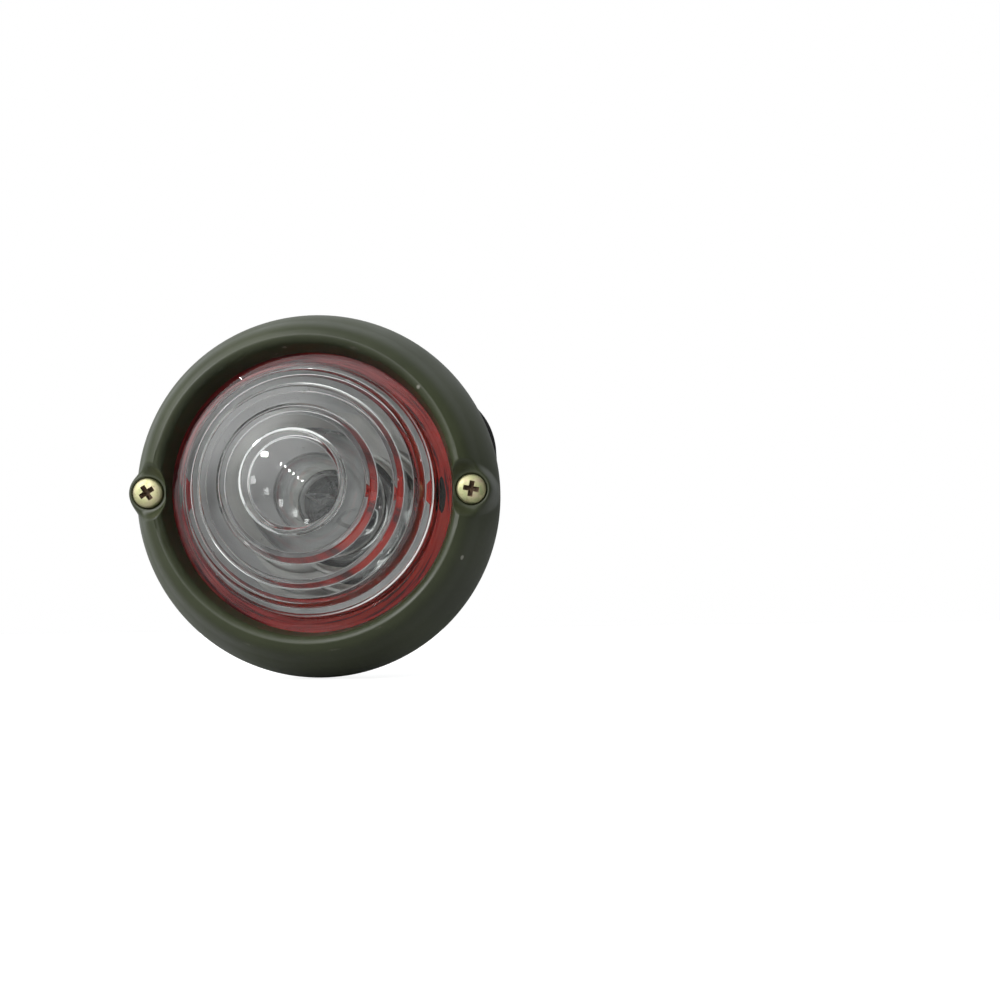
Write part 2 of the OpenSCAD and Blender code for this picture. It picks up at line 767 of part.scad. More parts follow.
// Blade terminal riveted through the insulator, for the live wire
module live_terminal() {
    color("#c9a94f") facing_front() {
        rotate_extrude() polygon([
            [0, insulator_back - blade_t],
            [foot_disc_r, insulator_back - blade_t],
            [foot_disc_r, insulator_back],
            [rivet_r, insulator_back],
            [rivet_r, insulator_face],
            [rivet_r + rivet_head, insulator_face],
            [rivet_r + rivet_head / 2, insulator_face + 0.75 * rivet_h],
            [0, insulator_face + 0.75 * rivet_h],
        ]);
        difference() {
            translate([-blade_w / 2, -blade_t / 2, insulator_back - blade_t - blade_len])
                cube([blade_w, blade_t, blade_len + blade_t / 2]);
            translate([0, blade_t, insulator_back - blade_t - blade_len * 2 / 3]) rotate([90, 0, 0])
                cylinder(r = 0.14 * blade_w, h = 2 * blade_t);
        }
    }
}

// Blade terminal under one of the socket rivets, for the earth wire
module earth_terminal() {
    foot = 0.8 * blade_len;
    heel = rivet_r + rivet_head + 0.5;
    back = cup_floor_back - blade_t;
    color("#c4c4bf") facing_front() rotate([0, 0, earth_rivet]) translate([rivet_ring_r, 0, 0]) difference() {
        union() {
            translate([-heel, -blade_w / 2, back]) cube([foot + heel, blade_w, blade_t]);
            translate([foot - blade_t, -blade_w / 2, back - blade_len]) cube([blade_t, blade_w, blade_len + blade_t]);
        }
        rod(rivet_r, back - over, cup_floor_back + over);
        translate([foot - 2 * blade_t, 0, back - blade_len * 2 / 3]) rotate([0, 90, 0])
            cylinder(r = 0.14 * blade_w, h = 3 * blade_t);
    }
}

mounting_pad();
mounting_studs();
housing_pan();
screw_posts();
lens_gasket();
lens();
bezel();
bezel_screw_left();
bezel_screw_right();
screw_seal_left();
screw_seal_right();
bulb_glass();
bulb_stem();
bulb_leads();
bulb_filament();
bulb_cap();
bulb_insulator();
bulb_contact();
socket_shell();
socket_rivets();
contact_carrier();
contact_pin();
contact_spring();
socket_insulator();
live_terminal();
earth_terminal();
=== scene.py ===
"""Parking light: finer pieces, materials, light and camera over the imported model."""

import math

import bmesh
import bpy
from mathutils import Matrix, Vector


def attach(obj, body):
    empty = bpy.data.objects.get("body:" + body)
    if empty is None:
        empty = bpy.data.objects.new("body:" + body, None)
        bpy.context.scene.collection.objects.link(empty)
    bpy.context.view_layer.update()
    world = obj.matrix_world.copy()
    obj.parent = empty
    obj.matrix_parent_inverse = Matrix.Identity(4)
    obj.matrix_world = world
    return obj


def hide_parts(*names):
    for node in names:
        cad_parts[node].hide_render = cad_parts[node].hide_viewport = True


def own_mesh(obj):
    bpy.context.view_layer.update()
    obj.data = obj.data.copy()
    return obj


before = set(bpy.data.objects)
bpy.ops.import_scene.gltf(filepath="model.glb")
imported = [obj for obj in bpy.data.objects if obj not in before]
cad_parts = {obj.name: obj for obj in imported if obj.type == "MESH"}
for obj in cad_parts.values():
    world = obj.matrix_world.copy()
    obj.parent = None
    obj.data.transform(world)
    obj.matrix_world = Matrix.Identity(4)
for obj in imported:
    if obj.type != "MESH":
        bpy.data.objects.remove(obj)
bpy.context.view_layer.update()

MM = 0.001
TAU = 2 * math.pi
SIDES = ((-1, "left"), (1, "right"))

# Sizes in mm and turns in degrees. The main sizes are those of the part's source. Small details, the
# crest's round and the lens's steps are fitted more closely here. Heights are measured forward from
# the pad's panel side, and radii from the lens's axis.

# Bezel
MOUTH_R = 37.9
LIP_H = 14.0
LIP_W = 1.4
CREST_R = 41.0
CREST_TOP = 21.2
CREST_ROUND = 2.2
CREST_FILL = 0.7
CREST_FILL_W = 5.5
BEZEL_R = 50.6
BEZEL_WALL = 1.4
WIDEST_H = 5.1
FLANK_BOW = 1.3
SKIRT_DRAFT = 0.3

# A screw's place in the bezel: dish, boss and pocket
SCREW_X = 43.3
SEAT_H = 15.4
BOSS_TOP = 17.2
BOSS_R = 5.1
BOSS_EASE = 0.35
DISH_W = 3.4
DISH_BLEND = 0.5
DRAW_W = 2.7
POCKET_R = 4.2
POCKET_FLARE = 0.5
POCKET_CORNER = 0.3
SCREW_REACH = 12
SCREW_PLACE = 13.5

# Bezel screws and their washers
HEAD_SEAT = 15.9
HEAD_R = 4.0
HEAD_H = 2.3
SCREW_R = 2.0
SCREW_TIP = 3.9
SCREW_PITCH = 0.7
SHANK_GAP = 0.25
RECESS_HALF = 2.2
RECESS_ARM = 0.62
RECESS_DEEP = 1.5
SCREW_TURNS = (33, -10)
SEAL_R = 3.8
SEAL_BORE = 2.05

# Lens: each riser as its ends (radius, height over the flange), from the eye to the flange's edge
# outside and from the flange to the middle inside
LENS_R = 40.6
LENS_BACK = 11.0
LENS_H = 24.9
OUTSIDE_RISERS = (
    ((12.44, 23.62), (13.55, 21.81)),
    ((18.91, 19.24), (20.67, 16.93)),
    ((25.29, 15.13), (26.8, 13.04)),
    ((30.34, 11.19), (31.76, 7.93)),
    ((33.46, 7.45), (34.3, 0.0)),
)
INSIDE_RISERS = (
    ((32.81, -3.0), (32.81, 4.76)),
    ((28.89, 3.5), (28.48, 9.1)),
    ((23.97, 7.04), (23.93, 13.05)),
    ((17.73, 10.79), (17.38, 17.59)),
    ((11.56, 15.7), (10.96, 18.66)),
)
STEP_ROUND = 0.3
EYE_ROUND = 0.85

# Gasket, with an ear and a relief behind each screw
GASKET_IN = 32.0
GASKET_OUT = 46.6
GASKET_SHOULDER = 10.0
GASKET_EAR = 5.5
EAR_HALF = 8.5
EAR_TIP_HALF = 1.0
RELIEF_R = 34.8
RELIEF_HALF_W = 1.2
RELIEF_HALF_H = 5.0
RELIEF_DROP = 0.8
RELIEF_FLOOR = 6.0

# Bulb
BULB_R = 9.5
BULB_WALL = 0.5
NECK_R = 6.6
NECK_BOTTOM = -2.5
FILAMENT_H = 12.0
FILAMENT_R = 2.2
FILAMENT_TURNS = 26
COIL_R = 0.22
COIL_WIRE_R = 0.05
LEAD_R = 0.22
HOOK_R = 0.13
LEAD_FOOT = 4.7

# Bulb cap
CAP_R = 7.5
CAP_WALL = 0.35
CAP_TOP = 0.0
CAP_BOTTOM = -13.5
CAP_ROUND = 1.2
CAP_HOLE_R = 5.3
PIN_H = -7.0
PIN_R = 1.0

# Bulb holder
SOCKET_BORE = 7.6
SOCKET_FLANGE = 0.8
SOCKET_BACK = -26.0
CARRIER_FACE = -15.0
CARRIER_BACK = -17.0
CARRIER_BORE = 1.5
SPRING_LOW = -24.0
SPRING_R = 3.6
SPRING_TURNS = 5
SPRING_WIRE_R = 0.35
RIVET_RING = 11.0
RIVET_R = 1.2
RIVET_HEAD_R = 2.0
RIVET_HEAD_H = 0.8
RIVET_TURNS = (60, 180, 300)
EARTH_TURN = 180
BLADE_T = 0.8

# Housing pan and its posts
PAN_R = 48.4
PAN_BACK = 2.5
PAN_FACE = 3.5
PAN_WALL = 1.0
CUP_R = 29.0
CUP_DEPTH = 10.0
CUP_ROUND = 3.0
CUP_LIP = 0.6
CUP_FLOOR = -12.0
CUP_BACK = -13.0
SOCKET_HOLE_R = 8.5
DRAIN_R = 1.5
DRAIN_Z = -24.5
POST_R = 4.0
POST_TOP = 10.0
POST_GAP = 0.3
POST_HEAD_R = 3.5
POST_HEAD_BACK = 1.7
SPIGOT_R = 2.8
TAP_R = 2.05
TAP_END = 3.1

# Studs and mounting pad
STUD_RING = 40
STUD_TURNS = (21, 201)
STUD_R = 2.5
STUD_PITCH = 0.8
STUD_END = -16.0
COLLAR_R = 4.5
COLLAR_BACK = 1.0
PAD_T = 2.5
PAD_R = 50.0
PAD_EAR_R = 18.0
PAD_EAR_RING = 33.6
PAD_OPENING_R = 30.5
PAD_POST_R = 4.0
PAD_STUD_R = 4.8

# Places and directions of the studio, in metres, and the camera's lens
CAMERA_AT = (0.0631, -0.294, -0.0363)
CAMERA_ROLL = 0.76
SENSOR_W = 36
FOCAL_WIDTHS = 1.034
CAMERA_SHIFT = (-0.047, 0.1235)
LAMP_TARGET = (0, -0.014, 0)
LAMP_DISTANCE = 0.9
FLOOR_GAP = 0.0002
FLOOR_HALF = 3.0

# Distances in metres below which points count as one and edges as nothing
SAME_POINT = 2e-6
SAME_AXIS_POINT = 5e-6
NO_LENGTH = 1e-7


# Meshes

def at(x, h, z):
    """The point x mm to the right, h mm forward and z mm up, in metres."""
    return (x * MM, -h * MM, z * MM)


def polar(r, turn):
    """Radius r at a turn in degrees round the lens's axis, as x and z."""
    return r * math.cos(math.radians(turn)), r * math.sin(math.radians(turn))


def turned_point(r, h, a, x=0.0):
    """The point at radius r, height h and angle a round the axis at x, in metres."""
    return at(x + r * math.cos(a), h, r * math.sin(a))


def link(obj):
    """Puts a new object into the scene."""
    bpy.context.scene.collection.objects.link(obj)
    return obj


def mesh_object(name, verts, faces):
    """A new object from points in metres and faces."""
    me = bpy.data.meshes.new(name)
    me.from_pydata(verts, [], faces)
    return link(bpy.data.objects.new(name, me))


def ring_faces(rings, sides, closed=True):
    """Quads between rings of points that each close on themselves."""
    out = []
    for i in range(rings if closed else rings - 1):
        j = (i + 1) % rings
        for s in range(sides):
            t = (s + 1) % sides
            out.append((i * sides + s, i * sides + t, j * sides + t, j * sides + s))
    return out


def lofted(name, rings):
    """A solid through rings of points, closed at the first and the last."""
    sides = len(rings[0])
    last = (len(rings) - 1) * sides
    faces = ring_faces(len(rings), sides, closed=False)
    faces += [tuple(range(sides)), tuple(range(last, last + sides))]
    return mesh_object(name, [p for ring in rings for p in ring], faces)


def turned(name, section, steps=192, x=0.0):
    """A closed section of (radius, height) points turned about an axis."""
    verts = [turned_point(r, h, TAU * i / steps, x) for i in range(steps) for r, h in section]
    return mesh_object(name, verts, ring_faces(steps, len(section)))


def arc(cx, cy, rx, ry, start, end, n):
    """Points of an ellipse's arc between two angles in degrees."""
    return [(cx + rx * math.cos(math.radians(start + (end - start) * i / n)),
             cy + ry * math.sin(math.radians(start + (end - start) * i / n))) for i in range(n + 1)]


def flank(cx, cy, rx, ry, n):
    """Points from the top to the side of the bezel's flank, fuller than a cone."""
    power = 2 / FLANK_BOW
    return [(cx + rx * max(0.0, math.cos(t)) ** power, cy + ry * max(0.0, math.sin(t)) ** power)
            for t in (math.pi / 2 * (1 - i / n) for i in range(n + 1))]


def rounded(points, radius, n=4):
    """Rounds the corners of a section. radius is one number, or a function of a corner's index."""
    straight, share = math.radians(176), 0.45
    out, count = [], len(points)
    for i, p in enumerate(points):
        r = radius(i) if callable(radius) else radius
        a, b = points[i - 1], points[(i + 1) % count]
        va, vb = Vector((a[0] - p[0], a[1] - p[1])), Vector((b[0] - p[0], b[1] - p[1]))
        la, lb = va.length, vb.length
        if r == 0 or min(la, lb) < 1e-6 or va.angle(vb) > straight:
            out.append(p)
            continue
        back = min(r / math.tan(va.angle(vb) / 2), share * la, share * lb)
        pa, pb = Vector(p) + va / la * back, Vector(p) + vb / lb * back
        for k in range(n + 1):
            u = k / n
            q = pa * (1 - u) ** 2 + Vector(p) * 2 * u * (1 - u) + pb * u * u
            out.append((q.x, q.y))
    return out


def tube(name, path, radius, sides):
    """A round wire along a list of points in mm (x, height, z)."""
    pts = [Vector(at(*p)) for p in path]
    rings, up = [], Vector((0.3, 0.9, 0.2)).normalized()
    for i, p in enumerate(pts):
        d = (pts[min(i + 1, len(pts) - 1)] - pts[max(i - 1, 0)]).normalized()
        up = (up - d * up.dot(d)).normalized()
        w = d.cross(up)
        turns = [TAU * s / sides for s in range(sides)]
        rings.append([p + (up * math.cos(a) + w * math.sin(a)) * radius * MM for a in turns])
    return lofted(name, rings)


def threaded(name, root, crest, pitch, low, high, x=0.0, z=0.0, sides=28, per_turn=6):
    """A rod with a helical thread between two heights, chamfered at the low one."""
    rows = int((high - low) / pitch * per_turn) + 1
    rings = []
    for i in range(rows):
        h = low + (high - low) * i / (rows - 1)
        ease = min(1.0, (h - low) / pitch)
        ring = []
        for s in range(sides):
            phase = (h / pitch + s / sides) % 1.0
            tooth = 1 - abs(2 * phase - 1)
            r = root + (crest - root) * min(1.0, max(0.0, tooth * 1.5 - 0.2)) * ease
            a = TAU * s / sides
            ring.append(at(x + r * math.cos(a), h, z + r * math.sin(a)))
        rings.append(ring)
    return lofted(name, rings)


def clean(obj, same=SAME_AXIS_POINT):
    """Merges points that coincide, drops faces without area and turns the rest outward."""
    bm = bmesh.new()
    bm.from_mesh(obj.data)
    bmesh.ops.remove_doubles(bm, verts=bm.verts, dist=same)
    bmesh.ops.dissolve_degenerate(bm, dist=NO_LENGTH, edges=bm.edges)
    bmesh.ops.recalc_face_normals(bm, faces=bm.faces)
    bm.to_mesh(obj.data)
    bm.free()


def paint(obj, material):
    """Gives a new mesh its material."""
    obj.data.materials.append(MAT[material])
    return obj


def solid(obj, material):
    """Cleans a new closed mesh and gives it its material."""
    clean(obj)
    return paint(obj, material)


def moved(obj, x, z):
    """Shifts a mesh by x mm to the right and z mm up."""
    for v in obj.data.vertices:
        v.co.x += x * MM
        v.co.z += z * MM
    return obj


def bake(obj):
    """Applies an object's modifiers to its mesh."""
    graph = bpy.context.evaluated_depsgraph_get()
    graph.update()
    me = bpy.data.meshes.new_from_object(obj.evaluated_get(graph))
    obj.modifiers.clear()
    old = obj.data
    obj.data = me
    bpy.data.meshes.remove(old)


def cut(obj, cutter):
    """Takes the cutter's shape out of a piece, keeping the cutter's material on the new faces."""
    mod = obj.modifiers.new("cut", "BOOLEAN")
    mod.operation, mod.solver, mod.object = "DIFFERENCE", "EXACT", cutter
    mod.material_mode = "TRANSFER"
    bake(obj)
    bpy.data.objects.remove(cutter)


def drilled(obj, material, holes):
    """Cuts plain round holes (x, z, radius, low, high) into a piece."""
    for x, z, r, low, high in holes:
        rod = turned("hole", [(0.0, low), (r, low), (r, high), (0.0, high)], 40)
        cut(obj, solid(moved(rod, x, z), material))


def join(name, objs):
    """Joins several new mesh objects into one."""
    bm = bmesh.new()
    mats = []
    for o in objs:
        for m in o.data.materials:
            if m not in mats:
                mats.append(m)
    for o in objs:
        slots = [mats.index(m) for m in o.data.materials]
        start = len(bm.faces)
        bm.from_mesh(o.data)
        bm.faces.ensure_lookup_table()
        for f in bm.faces[start:]:
            f.material_index = slots[f.material_index]
    me = bpy.data.meshes.new(name)
    bm.to_mesh(me)
    bm.free()
    for m in mats:
        me.materials.append(m)
    for o in objs:
        bpy.data.objects.remove(o)
    return link(bpy.data.objects.new(name, me))


def finish_piece(obj, material, body, node, sharp=35, flats=False):
    """Gives a new piece its normals, material, slot, body and CAD node."""
    clean(obj, SAME_POINT)
    obj.data.shade_smooth()
    obj.data.set_sharp_from_angle(angle=math.radians(sharp))
    if flats:
        mod = obj.modifiers.new("flats", "WEIGHTED_NORMAL")
        mod.mode, mod.weight, mod.keep_sharp = "FACE_AREA", 100, True
        bake(obj)
    if MAT[material].name not in obj.data.materials:
        paint(obj, material)
    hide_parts(node)
    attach(obj, body)
    return obj


def piece(node, parts, material, body, sharp=35):
    """Joins new parts of one material into the piece for a CAD node."""
    name = node + "_fine"
    for part in parts:
        solid(part, material)
    obj = join(name, parts) if len(parts) > 1 else parts[0]
    obj.name = name
    return finish_piece(obj, material, body, node, sharp)


def dressed(node, material, bevel):
    """A copy of one of the housing's CAD nodes with rounded edges."""
    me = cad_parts[node].data.copy()
    me.materials.clear()
    obj = link(bpy.data.objects.new(node + "_fine", me))
    bm = bmesh.new()
    bm.from_mesh(me)
    bmesh.ops.remove_doubles(bm, verts=bm.verts, dist=SAME_POINT)
    bmesh.ops.dissolve_limit(bm, angle_limit=math.radians(0.6), verts=bm.verts, edges=bm.edges)
    bm.to_mesh(me)
    bm.free()
    mod = obj.modifiers.new("edge", "BEVEL")
    mod.width, mod.segments = bevel * MM, 2
    mod.limit_method, mod.angle_limit = "ANGLE", math.radians(40)
    bake(obj)
    finish_piece(obj, material, "housing", node)


# Materials

def shader(name, color, roughness, metallic=0.0, specular=0.5):
    """A new material, with its node tree and its surface."""
    m = bpy.data.materials.new(name)
    m.use_nodes = True
    tree = m.node_tree
    bsdf = tree.nodes["Principled BSDF"]
    bsdf.inputs["Base Color"].default_value = (*color, 1)
    bsdf.inputs["Roughness"].default_value = roughness
    bsdf.inputs["Metallic"].default_value = metallic
    bsdf.inputs["Specular IOR Level"].default_value = specular
    return m, tree, bsdf


def coords(tree):
    """The place on the object, in metres."""
    for n in tree.nodes:
        if n.type == "TEX_COORD":
            return n.outputs["Object"]
    return tree.nodes.new("ShaderNodeTexCoord").outputs["Object"]


def noise_of(tree, scale, detail=4.0, roughness=0.55, distortion=0.0, source=None):
    """Soft noise, by place on the object or by another vector."""
    tex = tree.nodes.new("ShaderNodeTexNoise")
    tex.inputs["Scale"].default_value = scale
    tex.inputs["Detail"].default_value = detail
    tex.inputs["Roughness"].default_value = roughness
    tex.inputs["Distortion"].default_value = distortion
    tree.links.new(coords(tree) if source is None else source, tex.inputs["Vector"])
    return tex.outputs["Fac"]


def specks_of(tree, scale, size):
    """White spots at scattered places: 1 inside a spot, 0 outside."""
    tex = tree.nodes.new("ShaderNodeTexVoronoi")
    tex.inputs["Scale"].default_value = scale
    tree.links.new(coords(tree), tex.inputs["Vector"])
    return remap(tree, tex.outputs["Distance"], size, size * 0.6, 0.0, 1.0)


def remap(tree, value, low, high, to_low, to_high):
    """Moves a number from one range to another, held at its ends."""
    n = tree.nodes.new("ShaderNodeMapRange")
    for key, v in zip(("From Min", "From Max", "To Min", "To Max"), (low, high, to_low, to_high)):
        n.inputs[key].default_value = v
    tree.links.new(value, n.inputs["Value"])
    return n.outputs["Result"]


def number_of(tree, operation, a, b):
    """A calculation with two numbers."""
    n = tree.nodes.new("ShaderNodeMath")
    n.operation = operation
    tree.links.new(a, n.inputs[0])
    tree.links.new(b, n.inputs[1])
    return n.outputs[0]


def vector_of(tree, operation, *values):
    """A calculation with sockets or fixed vectors."""
    n = tree.nodes.new("ShaderNodeVectorMath")
    n.operation = operation
    for socket, v in zip(n.inputs, values):
        if isinstance(v, tuple):
            socket.default_value = v
        else:
            tree.links.new(v, socket)
    return n.outputs["Value" if operation in ("LENGTH", "DOT_PRODUCT") else "Vector"]


def ramp_of(tree, value, *stops):
    """A colour by a number, from stops of (number, colour)."""
    n = tree.nodes.new("ShaderNodeValToRGB")
    r = n.color_ramp
    while len(r.elements) < len(stops):
        r.elements.new(0.5)
    for e, (place, color) in zip(r.elements, stops):
        e.position = place
        e.color = (*color, 1)
    tree.links.new(value, n.inputs["Fac"])
    return n.outputs["Color"]


def mix_of(tree, factor, a, b):
    """Colour a where the factor is 0, colour b where it is 1."""
    n = tree.nodes.new("ShaderNodeMix")
    n.data_type = "RGBA"
    tree.links.new(factor, n.inputs["Factor"])
    for key, v in (("A", a), ("B", b)):
        socket = [s for s in n.inputs if s.name == key and s.type == "RGBA"][0]
        if isinstance(v, tuple):
            socket.default_value = (*v, 1)
        else:
            tree.links.new(v, socket)
    return [s for s in n.outputs if s.type == "RGBA"][0]


def bump_of(tree, bsdf, height, distance):
    """Adds a bump to a surface, with its height in mm."""
    n = tree.nodes.new("ShaderNodeBump")
    n.inputs["Strength"].default_value = 1.0
    n.inputs["Distance"].default_value = distance * MM
    tree.links.new(height, n.inputs["Height"])
    here = bsdf.inputs["Normal"]
    if here.is_linked:
        tree.links.new(here.links[0].from_socket, n.inputs["Normal"])
    tree.links.new(n.outputs["Normal"], here)


def tint_of(tree, bsdf, color):
    """Gives a surface its colour."""
    tree.links.new(color, bsdf.inputs["Base Color"])


def gloss_of(tree, bsdf, noise, low, high):
    """Gives a surface a roughness that wanders between two values."""
    tree.links.new(remap(tree, noise, 0.3, 0.7, low, high), bsdf.inputs["Roughness"])


def olive_paint():
    """Semi-matt paint with uneven coats, orange peel, worn edges and a few nicks."""
    m, t, b = shader("olive_paint_fine", (0.06, 0.065, 0.045), 0.42, specular=0.4)
    coat = ramp_of(t, noise_of(t, 45, 5),
                   (0.3, (0.032, 0.038, 0.018)), (0.55, (0.043, 0.051, 0.024)), (0.75, (0.054, 0.062, 0.032)))
    nicked = number_of(t, "MULTIPLY", specks_of(t, 150, 0.13), remap(t, noise_of(t, 60, 2), 0.56, 0.62, 0, 1))
    edge = remap(t, t.nodes.new("ShaderNodeNewGeometry").outputs["Pointiness"], 0.53, 0.60, 0, 1)
    worn = number_of(t, "MULTIPLY", edge, remap(t, noise_of(t, 260, 5, 0.7), 0.5, 0.7, 0, 0.7))
    worn_color, nick_color = (0.13, 0.13, 0.10), (0.34, 0.33, 0.28)
    tint_of(t, b, mix_of(t, nicked, mix_of(t, worn, coat, worn_color), nick_color))
    gloss_of(t, b, noise_of(t, 90, 4), 0.34, 0.46)
    bump_of(t, b, noise_of(t, 520, 3), 0.035)
    bump_of(t, b, noise_of(t, 2600, 2), 0.008)
    return m


def pressed_glass(name, tint, wave, seeds):
    """Clear glass with patches of film, a wavy surface and, in the lens, seeds."""
    m, t, b = shader(name, tint, 0.0)
    b.inputs["Transmission Weight"].default_value = 1
    b.inputs["IOR"].default_value = 1.5
    film = remap(t, noise_of(t, 120, 5, 0.65), 0.50, 0.75, 0.0, 0.11)
    t.links.new(film, b.inputs["Roughness"])
    clearer = tuple(min(1, c * 1.012) for c in tint)
    tint_of(t, b, ramp_of(t, noise_of(t, 30, 3), (0.3, tint), (0.7, clearer)))
    bump_of(t, b, noise_of(t, 95, 2, 0.4), wave)
    if seeds:
        bump_of(t, b, specks_of(t, 210, 0.09), 0.05)
    return m


def moulded(name, dark, light, bump, roughness, specular=0.4):
    """Mottled black rubber or glass with a fine and a broad unevenness."""
    m, t, b = shader(name, light, roughness, specular=specular)
    tint_of(t, b, ramp_of(t, noise_of(t, 160, 5, 0.65), (0.3, dark), (0.7, light)))
    gloss_of(t, b, noise_of(t, 300, 3), roughness - 0.08, roughness + 0.1)
    bump_of(t, b, noise_of(t, 1400, 4, 0.6), bump)
    bump_of(t, b, noise_of(t, 120, 3), bump * 2)
    return m


def red_rubber():
    """Moulded ring with streaks that run round it, and painted light on its right and lower side."""
    m, t, b = shader("red_rubber_fine", (0.5, 0.012, 0.009), 0.45, specular=0.12)
    per_metre = 260
    radial = vector_of(t, "MULTIPLY", coords(t), (1, 0, 1))
    radius = remap(t, vector_of(t, "LENGTH", radial), 0, 1, 0, per_metre)
    round_it = vector_of(t, "ADD", vector_of(t, "NORMALIZE", radial), radius)
    streaks = noise_of(t, 2.6, 5, 0.6, source=round_it)
    # Lit and shaded copies of the red: painted shade for the upper left, painted light for the right and
    # lower side
    shaded_red = ramp_of(t, streaks, (0.38, (0.10, 0.004, 0.006)), (0.50, (0.38, 0.012, 0.016)),
                   (0.62, (0.60, 0.06, 0.06)))
    lit_red = ramp_of(t, streaks, (0.36, (0.16, 0.004, 0.004)), (0.43, (0.92, 0.022, 0.010)),
                     (0.60, (1.0, 0.07, 0.035)))
    # Mask of the painted light: 0 towards the upper left, 1 towards the right and lower side
    side = remap(t, vector_of(t, "DOT_PRODUCT", coords(t), (0.85, 0, -0.53)), 0.0, 0.034, 0, 1)
    tint_of(t, b, mix_of(t, side, shaded_red, lit_red))
    gloss_of(t, b, noise_of(t, 300, 3), 0.36, 0.54)
    bump_of(t, b, streaks, 0.12)
    bump_of(t, b, noise_of(t, 1400, 4, 0.6), 0.02)
    return m


def metal(name, dark, light, roughness, scale, bump=0.01, metallic=1.0):
    """A plated or bare metal with blotches, fine grain and uneven gloss."""
    m, t, b = shader(name, light, roughness, metallic)
    tint_of(t, b, ramp_of(t, noise_of(t, scale, 5, 0.6), (0.3, dark), (0.7, light)))
    gloss_of(t, b, noise_of(t, scale * 2.2, 4), roughness * 0.75, roughness * 1.35)
    bump_of(t, b, noise_of(t, scale * 7, 3), bump)
    return m


def yellow_zinc():
    """Passivated zinc that runs from green over straw yellow to pink, with grime."""
    m, t, b = shader("yellow_zinc_fine", (0.72, 0.66, 0.42), 0.3, 1.0)
    hue = ramp_of(t, noise_of(t, 340, 3, 0.5, 0.6), (0.30, (0.34, 0.38, 0.20)), (0.45, (0.46, 0.45, 0.25)),
                  (0.60, (0.50, 0.46, 0.29)), (0.72, (0.54, 0.37, 0.31)))
    grime, grime_color = remap(t, noise_of(t, 800, 5, 0.7), 0.55, 0.75, 0, 0.75), (0.24, 0.19, 0.10)
    tint_of(t, b, mix_of(t, grime, hue, grime_color))
    gloss_of(t, b, noise_of(t, 900, 3), 0.46, 0.62)
    bump_of(t, b, noise_of(t, 1500, 3), 0.012)
    return m


def fibre():
    """Brown laminated board with its layers across the lens's axis."""
    m, t, b = shader("fibre_fine", (0.20, 0.09, 0.045), 0.55)
    layers = t.nodes.new("ShaderNodeMapping")
    layers.inputs["Scale"].default_value = (0.25, 3.0, 0.25)
    t.links.new(coords(t), layers.inputs["Vector"])
    grain = noise_of(t, 500, 4, 0.6, source=layers.outputs["Vector"])
    tint_of(t, b, ramp_of(t, grain, (0.3, (0.12, 0.050, 0.024)), (0.7, (0.26, 0.120, 0.060))))
    bump_of(t, b, noise_of(t, 1800, 3), 0.01)
    return m


def dark_matte(name, dark, light):
    """Dull, crumbly, dark matte surface: the cap's cement, and painted shade in recesses."""
    m, t, b = shader(name, light, 0.8)
    tint_of(t, b, ramp_of(t, noise_of(t, 1200, 5, 0.7), (0.3, dark), (0.7, light)))
    bump_of(t, b, noise_of(t, 2500, 3), 0.03)
    return m


def filament_metal():
    """Dark drawn wire."""
    m, t, b = shader("tungsten_fine", (0.35, 0.35, 0.36), 0.4, 1.0)
    tint_of(t, b, ramp_of(t, noise_of(t, 3000, 3), (0.3, (0.22, 0.22, 0.23)), (0.7, (0.45, 0.45, 0.46))))
    return m


MAT = {
    "olive": olive_paint(),
    "lens": pressed_glass("lens_glass_fine", (0.965, 0.985, 0.975), 0.013, seeds=True),
    "bulb": pressed_glass("bulb_glass_fine", (0.985, 0.99, 0.985), 0.004, seeds=False),
    "red": red_rubber(),
    "black": moulded("black_rubber_fine", (0.010, 0.010, 0.011), (0.026, 0.025, 0.024), 0.03, 0.62),
    "plate": metal("plated_steel_fine", (0.50, 0.50, 0.505), (0.66, 0.66, 0.665), 0.55, 120,
                   bump=0.006, metallic=0.35),
    "steel": metal("bare_steel_fine", (0.46, 0.455, 0.44), (0.64, 0.635, 0.62), 0.48, 300, metallic=0.7),
    "zinc": yellow_zinc(),
    "brass": metal("brass_fine", (0.52, 0.40, 0.19), (0.74, 0.60, 0.32), 0.3, 260),
    "cap": metal("dull_cap_fine", (0.46, 0.45, 0.42), (0.64, 0.62, 0.57), 0.5, 260, metallic=0.55),
    "cement": dark_matte("cap_cement", (0.030, 0.022, 0.018), (0.085, 0.065, 0.050)),
    "tungsten": filament_metal(),
    "vitrite": moulded("black_glass_fine", (0.008, 0.008, 0.010), (0.02, 0.02, 0.024), 0.004, 0.16, 0.6),
    "solder": metal("solder_fine", (0.42, 0.42, 0.42), (0.62, 0.62, 0.61), 0.35, 700, bump=0.03),
    "fibre": fibre(),
    # Painted shade: a dark colour for the gasket's reliefs and the screws' cross recesses, where shade falls
    "dark_matte": dark_matte("recess_shade", (0.022, 0.012, 0.007), (0.15, 0.085, 0.040)),
}


# Bezel

def smooth_min(a, b, k):
    """The lesser of two numbers, blended where they are less than k apart."""
    h = max(0.0, min(1.0, 0.5 + 0.5 * (b - a) / k))
    return b + (a - b) * h - k * h * (1 - h)


def ring_h(r):
    """Height of the bezel's turned outside at radius r, without its screw places."""
    if r < CREST_R:
        slope = (CREST_TOP - LIP_H) / (CREST_R - CREST_ROUND * 0.7 - MOUTH_R)
        return min(CREST_TOP, LIP_H + (r - MOUTH_R) * slope)
    out = ((r - CREST_R) / (BEZEL_R - CREST_R)) ** FLANK_BOW
    return WIDEST_H + (CREST_TOP - WIDEST_H) * max(0.0, 1 - out) ** (1 / FLANK_BOW)


